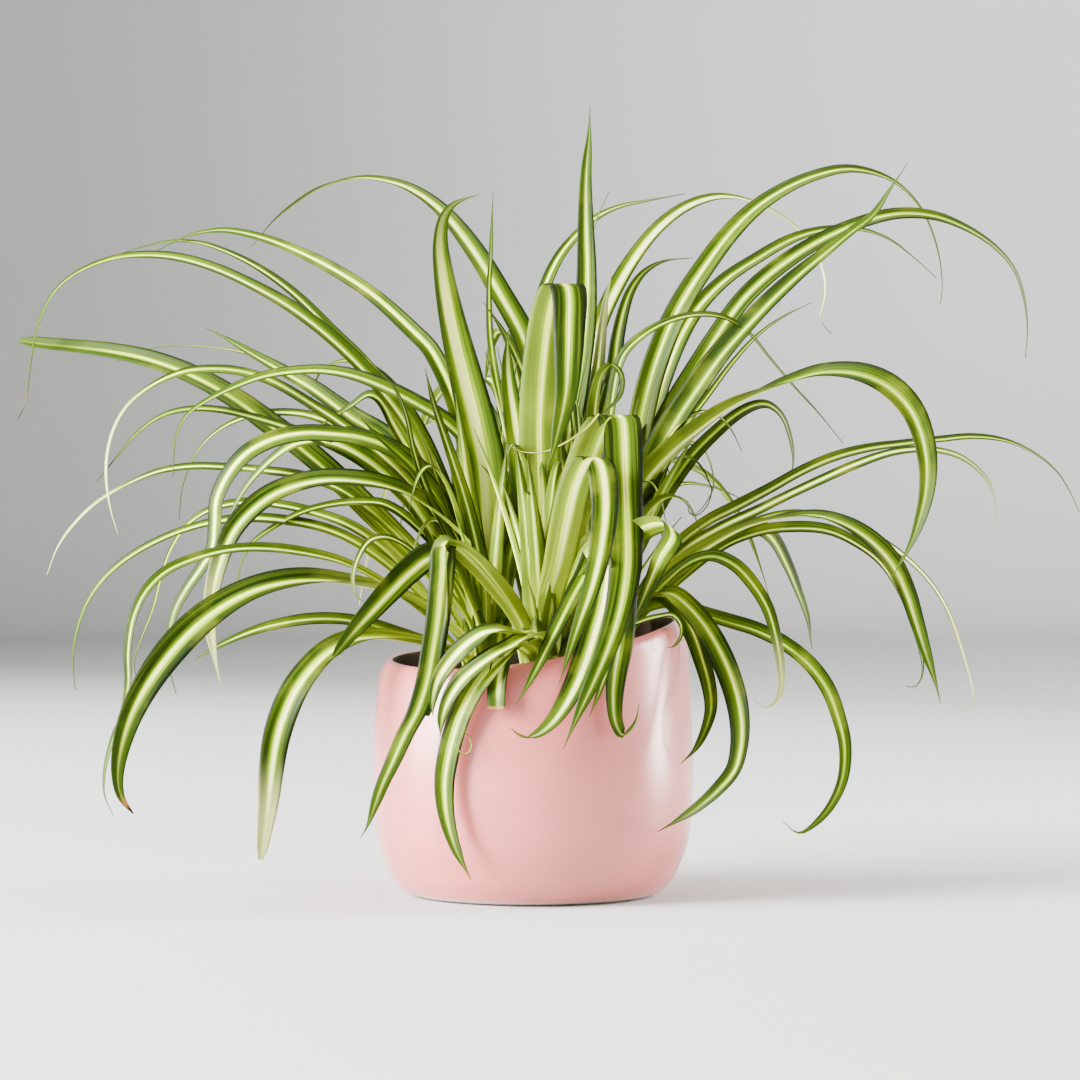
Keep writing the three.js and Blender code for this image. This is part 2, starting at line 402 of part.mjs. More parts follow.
// Smooth curve through points, by cubic pieces over chord length
function smoothRoute(points, samples) {
  const along = [0];
  for (let i = 1; i < points.length; i++) {
    along.push(along[i - 1] + Math.hypot(...points[i].map((c, k) => c - points[i - 1][k])));
  }
  const slope = points.map((_, i) => {
    const a = Math.max(0, i - 1);
    const b = Math.min(points.length - 1, i + 1);
    return points[0].map((_, k) => (points[b][k] - points[a][k]) / (along[b] - along[a]));
  });
  const route = [];
  let piece = 0;
  for (let n = 0; n <= samples; n++) {
    const s = (along.at(-1) * n) / samples;
    while (piece < points.length - 2 && s > along[piece + 1]) {
      piece += 1;
    }
    const h = along[piece + 1] - along[piece];
    const t = (s - along[piece]) / h;
    const end = t * t * (3 - 2 * t);
    const leave = h * t * (1 - t) * (1 - t);
    const arrive = h * t * t * (t - 1);
    route.push(points[0].map((_, k) => (
      points[piece][k] * (1 - end) + points[piece + 1][k] * end
      + slope[piece][k] * leave + slope[piece + 1][k] * arrive
    )));
  }
  return route;
}

// Depth of a leaf at its place across, inside its crown's quarter of the plan
function depthAt(crown, x, half, lie, t, order) {
  const [station, there, atTip] = lie;
  const margin = Math.SQRT2 * (half + SIDE_CLEARANCE);
  const across = Math.abs(x - HUB_X);
  const start = crown.side
    ? START_SHARE * there
    : Math.abs(crown.y) + START_SPREAD * (((order * GOLDEN) % 1) - 0.5);
  const value = t < station
    ? mix(start, there, ease(t / station))
    : mix(there, atTip, ease((t - station) / (1 - station)));
  if (crown.side) {
    return value * Math.max(0, across - margin);
  }
  const ring = Math.sqrt(Math.max(0, value * value - x * x));
  return crown.sign * Math.max(across + margin * ease(t / 0.1), ring);
}

// Leaves leave the stem at different heights
function startHeight(order) {
  return LEAF_START_Z + LEAF_START_RISE * ((order * GOLDEN) % 1);
}

// Leaf read in the front view, set back or forward to its depth
function viewedLine(crown, [width, tipWidth, taper], lie, route, order) {
  const [firstX, firstZ] = route[0];
  const start = [
    crown.x + LEAF_START_OUT * Math.sign(firstX - crown.x),
    Math.min(firstZ - 10, startHeight(order)),
  ];
  const flat = smoothRoute([start, ...route], ROUTE_SAMPLES);
  return flat.map(([across, up], n) => {
    const t = n / ROUTE_SAMPLES;
    const half = 0.5 * mix(width, tipWidth, t ** taper);
    let x = across;
    let y = 0;
    let scale = 1;
    for (let pass = 0; pass < 3; pass++) {
      y = depthAt(crown, x, half, lie, t, order);
      scale = 1 + y / EYE_DISTANCE;
      x = EYE_X + (across - EYE_X) * scale;
    }
    return [x, y, EYE_Z + (up - EYE_Z) * scale];
  });
}

// Hidden leaf: one arch from the crown's stem along a heading in plan
function arch(crown, heading, reach, rise, drop, order) {
  const out = new THREE.Vector3(Math.cos(heading), Math.sin(heading), 0);
  const start = new THREE.Vector3(crown.x, crown.y, startHeight(order));
  start.addScaledVector(out, LEAF_START_OUT);
  const at = (share, up) => start.clone().addScaledVector(out, reach * share).setZ(start.z + up);
  const curve = new THREE.CubicBezierCurve3(
    start, at(0.12, rise * 0.9), at(0.7, rise * 1.5), at(1, rise - drop),
  );
  return curve.getPoints(ROUTE_SAMPLES).map((p) => [p.x, p.y, p.z]);
}

// Stations along a line, closer together where it turns
function stations(line) {
  const cost = [0];
  for (let i = 1; i < line.length; i++) {
    const step = new THREE.Vector3(...line[i]).sub(new THREE.Vector3(...line[i - 1]));
    const before = new THREE.Vector3(...line[i - 1]).sub(new THREE.Vector3(...line[Math.max(0, i - 2)]));
    const turn = i > 1 ? step.angleTo(before) : 0;
    cost.push(cost[i - 1] + step.length() + TURN_COST * turn);
  }
  const count = Math.max(4, Math.round(cost.at(-1) / STATION_STEP));
  const picked = [];
  for (let k = 0; k <= count; k++) {
    const target = (cost.at(-1) * k) / count;
    const index = cost.findIndex((c) => c >= target - 1e-9);
    if (index !== picked.at(-1)) {
      picked.push(index);
    }
  }
  return picked;
}

// Blade: a keeled ribbon along the line, closed at both ends. A creased blade
// is nearly flat, and lies along its crease all the way
function blade(line, [width, tipWidth, taper], roll, crease) {
  const points = line.map((p) => new THREE.Vector3(...p));
  const heading = points.at(-1).clone().sub(points[0]).setZ(0).normalize();
  const creased = crease !== undefined;
  const level = creased
    ? new THREE.Vector3(Math.cos(RAD * crease), 0, Math.sin(RAD * crease))
    : new THREE.Vector3(-heading.y, heading.x, 0);
  const hand = heading.x < 0 ? -1 : 1;
  const slope = creased ? CREASED_SLOPE : KEEL_SLOPE;
  const vertices = [];
  const picked = stations(line);
  for (const index of picked) {
    const t = index / (line.length - 1);
    const ahead = points[Math.min(line.length - 1, index + 1)];
    const behind = points[Math.max(0, index - 1)];
    const tangent = ahead.clone().sub(behind).normalize();
    const side = creased
      ? level
      : level.clone().addScaledVector(tangent, -level.dot(tangent)).normalize();
    const up = tangent.clone().cross(side).normalize();
    const angle = hand * RAD * mix(roll[0], roll[1], ease((t - 0.2) / 0.8));
    const across = side.clone().multiplyScalar(Math.cos(angle)).addScaledVector(up, Math.sin(angle));
    const normal = up.clone().multiplyScalar(Math.cos(angle)).addScaledVector(side, -Math.sin(angle));
    const swell = mix(BASE_WIDTH, 1, ease(t / FULL_WIDTH_AT));
    const half = 0.5 * mix(width * swell, tipWidth, t ** taper);
    const lift = half * slope;
    const centre = points[index];
    const put = (a, n) => vertices.push(
      ...centre.clone().addScaledVector(across, a).addScaledVector(normal, n).toArray(),
    );
    put(-half, lift);
    put(0, BLADE_TOP);
    put(half, lift);
    put(0, -BLADE_UNDER);
  }
  const faces = [0, 1, 2, 0, 2, 3];
  for (let ring = 0; ring + 1 < picked.length; ring++) {
    const a = ring * 4;
    const b = a + 4;
    for (let i = 0; i < 4; i++) {
      const j = (i + 1) % 4;
      const split = i % 2 === 0
        ? [a + j, a + i, b + j, a + i, b + i, b + j]
        : [a + j, a + i, b + i, a + j, b + i, b + j];
      faces.push(...split);
    }
  }
  const end = (picked.length - 1) * 4;
  faces.push(end, end + 2, end + 1, end, end + 3, end + 2);
  return solidFrom(vertices, faces);
}

// The same draws in the same order give the same plant every time
let seed = SEED;
function draw([least, most]) {
  seed = (seed * 1664525 + 1013904223) % 4294967296;
  return mix(least, most, seed / 4294967296);
}

const blades = { front: [], left: [], right: [], back: [] };
for (const [name, size, lie, roll, route, crease] of LEAVES) {
  const line = viewedLine(CROWNS[name], size, lie, route, blades[name].length);
  blades[name].push(blade(line, size, roll, crease));
}
for (const { crown, count, reach, rise, drop, width } of FILL) {
  const { x, y } = CROWNS[crown];
  const facing = Math.atan2(y, x - HUB_X);
  for (let i = 0; i < count; i++) {
    const share = (i + 0.5) / count;
    const heading = facing + RAD * FILL_SPREAD * (2 * share - 1 + draw([-0.1, 0.1]));
    const order = blades[crown].length;
    const line = arch(CROWNS[crown], heading, draw(reach), draw(rise), draw(drop), order);
    const turn = draw([-FILL_ROLL, FILL_ROLL]);
    blades[crown].push(blade(line, [draw(width), TIP_WIDTH, FILL_TAPER], [turn, turn]));
  }
}

function geometryOf(solid) {
  const mesh = solid.getMesh();
  const geometry = new THREE.BufferGeometry();
  geometry.setAttribute("position", new THREE.BufferAttribute(mesh.vertProperties, 3));
  geometry.setIndex(new THREE.BufferAttribute(mesh.triVerts, 1));
  return mergeVertices(geometry, 1e-4);
}

// Where leaves close round a hollow it is filled, and no scrap is left loose
function whole(solid) {
  const pieces = solid.simplify(FLATNESS).decompose();
  return pieces.reduce((best, piece) => (piece.volume() > best.volume() ? piece : best));
}

const part = new THREE.Group();
part.name = "potted_spider_plant";

function add(name, solid, colour, roughness) {
  const material = new THREE.MeshStandardMaterial({ color: colour, roughness });
  const mesh = new THREE.Mesh(geometryOf(solid), material);
  mesh.name = name;
  part.add(mesh);
}

add("pot", pot(), 0xe3b9b4, 0.3);
add("potting_mix", pottingMix(), 0x2e2019, 0.95);
for (const [name, crown] of Object.entries(CROWNS)) {
  const leafy = whole(solids.Manifold.union([stem(crown, 0), ...blades[name]]));
  add(`crown_${name}`, leafy, 0x7fa03a, 0.5);
}

export default part;
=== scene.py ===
"""Potted spider plant: its looks, camera and light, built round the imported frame.

Lengths are in millimetres in the row frame until a mesh is made, and in metres
from there on. The leaves follow the same routes as the solids' leaves do.
"""

import math

import bpy
import numpy as np
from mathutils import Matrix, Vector, noise


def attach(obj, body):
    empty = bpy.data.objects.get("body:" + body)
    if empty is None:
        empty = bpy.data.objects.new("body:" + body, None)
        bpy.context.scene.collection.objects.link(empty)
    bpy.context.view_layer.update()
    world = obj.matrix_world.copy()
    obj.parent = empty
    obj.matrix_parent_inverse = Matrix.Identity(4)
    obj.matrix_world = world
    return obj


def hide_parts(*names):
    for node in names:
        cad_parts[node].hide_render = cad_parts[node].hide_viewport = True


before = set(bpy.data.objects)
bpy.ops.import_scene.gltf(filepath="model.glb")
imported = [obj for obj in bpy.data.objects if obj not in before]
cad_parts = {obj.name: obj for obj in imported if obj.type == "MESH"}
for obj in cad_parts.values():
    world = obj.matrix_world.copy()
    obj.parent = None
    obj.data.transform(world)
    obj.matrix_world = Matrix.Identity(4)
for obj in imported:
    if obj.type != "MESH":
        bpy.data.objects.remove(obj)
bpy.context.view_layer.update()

MM = 0.001

# Front view that the leaf routes are read in: across and up, in mm on the plane
# through the pot's axis, seen from EYE_DISTANCE at the height EYE_Z
EYE_X = 3.5
EYE_Z = 200
EYE_DISTANCE = 1900
AIM_Z = 177
VIEW_WIDTH = 540
SENSOR = 36

# Pot
POT_SIDES = 176
POT_SAMPLES = 150
POT_FOOT = [[0.5, 0], [40, 0]]
POT_OUTER = [
    [56, 0], [64, 2], [69, 7], [72.2, 12], [77.7, 27], [79.6, 45], [80, 65], [79.2, 86],
    [77.4, 106], [75.8, 112], [73.6, 116.2], [71.4, 118],
]
POT_INNER = [[69.6, 116.6], [69, 112], [69, 30], [65, 12], [58, 8]]
POT_FLOOR = [30, 8]
RIM_LEVEL = 118
RIM_SWEEP = 21
RIM_SWEEP_FROM = -60
RIM_SWEEP_RUN = 135
RIM_SWEEP_POWER = 1.6
RIM_BACK_SLOPE = 0.06
SWEEP_STARTS_AT = 66

# Potting mix. Its large and small lumps are [waves per mm, share]. A grain is
# sunk, stretched at each corner and flattened by shares of its size.
MIX_RADIUS = 68.6
MIX_FOOT_RADIUS = 20
MIX_EDGE_Z = 102.5
MIX_MIDDLE_Z = 107
MIX_BOTTOM_Z = 90
MIX_RINGS = 44
MIX_SIDES = 120
MIX_ROUGHNESS = 1.3
LARGE_LUMPS = [0.12, 1]
SMALL_LUMPS = [0.35, 0.8]
LUMP_SHIFT = (7, 3, 1)
CRUMBS = 420
CRUMB_SIZE = [0.7, 2.6]
PERLITE = 46
PERLITE_SIZE = [0.8, 1.7]
GRAIN_SIDES = 6
GRAIN_FROM_WALL = 5
GRAIN_LIFT = 0.35
GRAIN_STRETCH = [0.7, 1.2]
GRAIN_FLATNESS = 0.8

# Crowns, by the x and y of their stems. The side crowns have no y.
HUB_X = 5
STEM_RADIUS = 12
LEAF_START_Z = 108
LEAF_START_RISE = 20
LEAF_START_OUT = 4
START_UNDER_ROUTE = 10
START_SHARE = 0.8
START_SPREAD = 13
GOLDEN = 0.618
SIDE_CLEARANCE = 0.8
CLEARANCE_GROWS_OVER = 0.1
CROWNS = {
    "front": [HUB_X, -27],
    "left": [HUB_X - 29, 0],
    "right": [HUB_X + 28, 0],
    "back": [HUB_X, 28],
}

# Leaf blades. A leaf's end is [share of the length that narrows, how much of
# the width is left, how suddenly]
STATIONS = 96
COLUMNS = 8
BASE_WIDTH = 0.62
FULL_WIDTH_AT = 0.35
TIP_WIDTH = 0.9
MIDWAY = 0.5
POINTED_UP_TO = 1
POINTED_END = [0.1, 0.35, 1]
BLUNT_END = [0.035, 0.55, 2]
ROLL_FROM = 0.2
DEPTH_TURNS = 3
DEPTH_SMOOTHING = 30
BLADE_HALF_THICK = 0.22
EDGE_THINNING = 0.55
MIDRIB = 0.3
MIDRIB_FULL_AT = 3
MIDRIB_NARROWNESS = 3
KEEL = 0.36
CREASED_KEEL = 0.07
KEEL_AT_BASE = 1.5
KEEL_OUTWARD = 0.7
KEEL_CHANGES_OVER = 0.6
KEEL_POWER = 1.2
WAVE_HEIGHT = 0.05
WAVE_LENGTH = [9, 14]
WAVE_SHIFT = 40

# A row for each leaf that the front view shows: its size [width, taper, and the
# tip's width if not TIP_WIDTH], its depth [midway, at the tip, and the share of
# the length that is midway if not MIDWAY], its roll [base, tip] in degrees, its
# route in the front view (across, up, across, up and so on from just above the
# mix to the tip) and, if it folds sharply, the tilt of its crease in degrees.
# Depth is a share of the crown's quarter for the side crowns, and the distance
# from the pot's axis in plan for the other two.
LEFT_LEAVES = [
    [[10, 3.7], [0.5, 0.65], [55, 40], [-26, 160, -30, 205, -38, 243, -50, 270, -60, 281, -80, 299,
     -100, 312, -120, 322, -138, 328.5, -155, 331.5, -170, 329.5, -182, 324.5, -193, 318.5]],
    [[8, 3.1], [0.5, 0.7], [40, 25], [-30, 150, -45, 200, -65, 240, -85, 266, -100, 281, -120, 300.5,
     -140, 314.5, -160, 323.5, -172, 326, -184, 325.8, -200, 322, -215, 316.5]],
    [[11, 1.9], [0.25, 0.3], [45, 40], [-30, 150, -45, 195, -62, 233, -80, 257, -100, 277, -120, 292.5,
     -140, 304, -160, 313, -180, 318.3, -200, 319, -215, 316, -230, 309, -240, 299.5, -247, 285,
     -250, 271, -252, 256, -253.5, 246, -257.5, 237]],
    [[14, 3, 7], [0.3, 0.35], [50, 55], [-32, 140, -45, 155, -60, 169, -80, 189, -100, 209, -115, 222,
     -130, 233.5, -150, 248, -170, 259, -190, 266.5, -210, 271, -230, 273.5, -245, 275, -256, 276.5]],
    [[14, 2.8], [0.4, 0.55], [50, 50], [-32, 150, -45, 185, -60, 213, -75, 229, -90, 238.5, -110, 253,
     -125, 261.5, -140, 270, -152, 277, -164.5, 283.5]],
    [[4, 2], [0.6, 0.7], [30, 20], [-34, 150, -55, 195, -85, 232, -110, 254, -130, 264.5, -145, 270.5,
     -160, 273, -175, 274, -190, 272.8, -200, 269.5, -208, 266]],
    [[8, 3.4], [0.15, 0.2], [42, 40], [-30, 145, -45, 180, -65, 208, -90, 230, -112, 245, -130, 255.5,
     -145, 260.5, -160, 262, -175, 260.5, -190, 254, -202, 244.5, -209, 233, -212.5, 220, -213, 206,
     -211, 192, -207.5, 180]],
    [[11.5, 3.1], [0, 0.1], [45, 35], [-15, 150, -11, 180, -13, 198, -20, 212, -32, 225, -45, 237,
     -60, 246, -75, 253.5, -90, 259, -105, 261.5, -120, 261, -135, 258.5, -150, 253, -162, 247, -172, 240,
     -178, 230, -179.5, 218, -180, 208]],
    [[7.5, 3.4], [0.1, 0.2], [45, 40], [-30, 140, -48, 175, -65, 198, -85, 215, -105, 226, -125, 233.5,
     -140, 238, -155, 241.5, -170, 242.3, -185, 239, -198, 230, -208, 218.5, -218, 206.5]],
    [[7.5, 3.4], [0.35, 0.4], [42, 40], [-32, 140, -50, 180, -72, 212, -95, 232, -112, 239, -128, 240.5,
     -142, 238.5, -155, 233, -165, 224.5, -171.5, 214, -175.5, 202, -177, 187]],
    [[12.5, 4], [-0.1, -0.1], [48, 45], [-26, 145, -35, 175, -45, 195, -56, 210, -70, 221, -85, 227,
     -100, 229, -115, 229.5, -130, 226.5, -143, 219.5, -152, 209, -157.5, 197, -158.5, 184, -160, 172,
     -166, 162, -173, 152, -178.5, 142, -181.5, 130, -182, 115, -178.5, 100]],
    [[10.5, 3.4], [0.2, 0.25], [50, 45], [-28, 145, -42, 185, -58, 215, -69, 234, -76, 246.5, -82, 249.5,
     -90, 244.5, -100, 238, -112, 230.5]],
    [[14, 4], [-0.25, -0.3], [25, 70], [-21, 140, -23, 160, -32, 175, -44, 187, -58, 197.5, -72, 203.5,
     -87, 206.5, -103, 207.3, -117, 205, -130, 200, -142, 191, -151, 180, -157, 165, -160.5, 150,
     -161.5, 135, -159.5, 120, -156, 104]],
    [[7, 3.4], [0.05, 0.05], [45, 40], [-30, 140, -45, 168, -60, 185, -74, 194.5, -88, 195.8, -102, 194.3,
     -116, 190.5, -130, 183, -141, 174.5, -146.5, 163, -147.5, 150]],
    [[7, 3.7], [0.2, 0.25], [42, 38], [-34, 130, -52, 160, -72, 183, -95, 201, -115, 208.5, -135, 211.5,
     -152, 213, -170, 213.5, -187, 211, -203, 204.5, -218, 195.5, -230, 184, -238, 172.5, -243, 159.5]],
    [[7.5, 3.4], [0.05, 0.1], [42, 38], [-35, 125, -52, 145, -70, 162, -88, 175, -105, 182.5, -125, 186.5,
     -145, 187.5, -165, 184.5, -183, 178.5, -200, 169.5, -213, 159, -222, 147, -227.5, 133, -230, 118,
     -229, 102]],
    [[7, 3.4], [0.3, 0.3], [42, 40], [-38, 130, -55, 150, -72, 170, -90, 183, -108, 190, -128, 194.5,
     -145, 195.5, -160, 192.5, -172, 185, -181, 172, -186, 157, -190, 142, -195.5, 128, -199.5, 116,
     -198, 106]],
    [[7, 2.8], [-0.35, -0.4], [45, 40], [-38, 122, -55, 140, -75, 155, -95, 165.5, -115, 170.5,
     -135, 172.8, -152, 172, -170, 167.5, -184, 161, -194, 151, -200, 138, -202.5, 122, -202.5, 105,
     -205, 90, -210, 78, -214, 63, -214.5, 50, -210, 39]],
    [[19, 4, 1.2], [-0.4, -0.45], [12, 80], [-32, 122, -45, 136, -60, 146, -75, 151.5, -92, 155,
     -110, 156.5, -126, 155, -142, 150.5, -157, 142.5, -171, 131.5, -183.5, 118, -193.5, 104,
     -201.5, 88.5, -206.5, 72, -208, 58, -206, 48, -200, 40]],
    [[8.5, 4], [-0.2, -0.2], [45, 45], [-36, 118, -52, 124.5, -68, 130, -82, 134.5, -97, 137, -112, 137,
     -128, 134.5, -142, 130.5, -156, 124.5, -170, 117]],
    [[15, 5, 4.5], [-0.55, -0.6], [15, 75], [-36, 119, -50, 123.5, -64, 126.5, -78, 127.8, -90, 126.5,
     -101, 121.5, -110, 113.5, -118, 103, -124, 91, -128.5, 77, -131, 62, -132.5, 48, -134.5, 33,
     -136.5, 17]],
    [[14, 4, 3], [-0.8, -0.8], [60, 65], [-28, 135, -34, 152, -41, 165, -51, 169, -62, 161.5, -72, 151.5,
     -82, 140.5, -92, 129, -100, 118.5]],
    [[22, 2.6], [-0.3, -0.3], [130, 115], [-21, 150, -22, 185, -24, 215, -28, 235, -33, 255, -38, 275,
     -42, 293, -45, 310, -46.5, 325, -45, 337, -41, 343.5, -35, 347, -27, 349.5]],
    [[9, 3.1], [0.5, 0.6], [40, 30], [-28, 150, -40, 190, -52, 222, -64, 244, -75, 258, -86, 265,
     -97, 266, -106, 261, -110, 250, -113, 238]],
    [[14, 3.4], [-0.15, -0.2], [60, 50], [-26, 140, -34, 168, -44, 190, -54, 206, -63, 216, -72, 224,
     -80, 231, -86, 238]],
    [[10.5, 3.7], [0.1, 0.15], [50, 45], [-30, 135, -45, 170, -58, 192, -72, 208, -88, 220, -103, 226,
     -118, 225, -130, 217.5, -142, 205, -150, 192, -155, 180]],
    [[7, 2.8], [-0.2, -0.2], [55, 50], [-28, 145, -42, 178, -54, 203, -60, 222, -64, 240, -70, 254,
     -78, 262]],
    [[8, 3.1], [-0.4, -0.4], [85, 85], [-24, 150, -32, 190, -42, 222, -50, 246, -54, 263]],
    [[6, 2.1], [-0.5, -0.6], [50, 45], [-32, 135, -46, 155, -60, 171, -72, 178, -81, 177, -87, 169,
     -90, 158, -88, 149, -83, 145]],
]
FRONT_LEAVES = [
    [[12.5, 4], [82, 90, 0.22], [0, 25], [6, 122, 2, 126, -5, 124.5, -13, 119.5, -21, 112.5, -28, 104,
     -34, 93.5, -38.5, 82, -42, 69, -44, 56, -43.5, 42, -41, 30, -37, 19, -31, 7]],
    [[11.5, 3.7], [82, 88, 0.25], [0, 40], [7, 124, 3, 129, -4, 127.5, -11, 123.5, -19, 119.5, -28, 113.5,
     -36, 106.5, -42, 97.5, -45.5, 88, -46.5, 78]],
    [[11.5, 3.4], [80, 88, 0.3], [10, 40], [2, 122, -6, 128.5, -15, 131, -24, 130, -33, 124.5, -41, 116.5,
     -47, 107.5, -50, 97, -50, 88]],
    [[10, 3, 9], [80, 84, 0.3], [0, 0], [-3, 120, -9, 123.5, -14, 119.5, -16.5, 112, -17.8, 103,
     -18, 92]],
    [[12, 3, 8], [76, 86, 0.45], [0, 45], [-8, 140, -22, 160, -34, 172, -43, 175, -46, 168, -46.5, 155,
     -47, 140, -49, 127, -51.5, 112, -53, 101, -54, 89]],
    [[12.5, 6], [80, 100, 0.4], [0, 0], [-6, 135, -20, 155, -32, 168, -40, 174, -44.5, 173, -45, 165,
     -46, 153, -47.5, 138, -50, 122, -53, 106.5, -58, 91, -64.5, 78.5, -70, 66, -75.5, 54, -79.5, 43,
     -83, 33.5, -87, 27], 8],
    [[21, 4.4], [50, 64], [0, 0], [5, 150, 5, 185, 4, 213, 3.5, 235, 4.5, 257, 7, 281, 10, 297,
     13.5, 304.5, 17, 304.5, 18.4, 297, 18.2, 285, 17.8, 269, 16.6, 249.5, 11.7, 227.5, 6.4, 210], 0],
    [[11, 2.2], [40, 62], [0, 0], [12, 150, 22, 190, 29, 225, 31, 248, 34, 260, 39, 264.5, 44, 259,
     43.5, 250, 38, 243, 31, 238]],
    [[22, 3.2], [62, 97, 0.35], [0, 0], [10, 150, 18, 185, 26, 212, 33, 230, 38, 238, 41.5, 239.5,
     43.5, 236, 44.5, 220, 45.2, 200, 46, 182, 46.2, 165, 44.5, 150, 41, 135, 36, 120, 30, 106, 24, 93,
     15, 72], 0],
    [[18, 2.4], [66, 100, 0.38], [0, 0], [8, 145, 13, 165, 17, 185, 21, 203, 26, 215, 30, 218.5, 33, 216,
     35, 208, 36, 193, 34, 174, 29.5, 154, 23, 135, 18, 120, 13, 105], -5],
    [[11.5, 3.1], [60, 90], [0, 10], [14, 130, 22, 155, 29, 172, 33, 178, 31, 172, 26, 160, 20, 149,
     14, 137, 8, 125, 2, 113, -4, 102, -8.5, 95]],
    [[16, 4], [70, 92, 0.42], [0, 0], [12, 135, 20, 156, 27, 169, 32, 173.5, 36, 170, 37, 160, 35, 146,
     31, 132, 27, 119, 22.5, 107, 17, 96, 10, 86, 3, 80, -3, 78, -8, 80, -11, 83]],
    [[9, 3.1], [64, 90], [0, 0], [18, 140, 29, 162, 37.5, 173, 42, 174, 44.8, 168, 45, 159, 43.5, 145,
     41, 130, 37.5, 115, 33, 101, 28, 88]],
    [[14, 3.7], [75, 93, 0.45], [0, 25], [18, 138, 28, 156, 36, 166, 42, 166, 45, 156, 45.5, 146, 45, 135,
     43.5, 122, 41.5, 110, 40.5, 97, 41.5, 86, 45, 79.5, 49, 82, 52, 88, 53, 95]],
    [[15, 2.8], [60, 78], [0, 0], [20, 128, 33, 155, 44, 173, 54, 182, 62, 185, 68, 184, 70, 178.5,
     64.5, 169, 59.8, 158, 55.1, 147, 51.2, 137.8, 49.4, 128.4], -38],
    [[14, 4], [30, 34], [115, 115], [4, 140, 2, 160, -1, 180, -4, 200, -7, 220, -10, 240, -12.5, 258,
     -13, 272, -12, 283]],
]
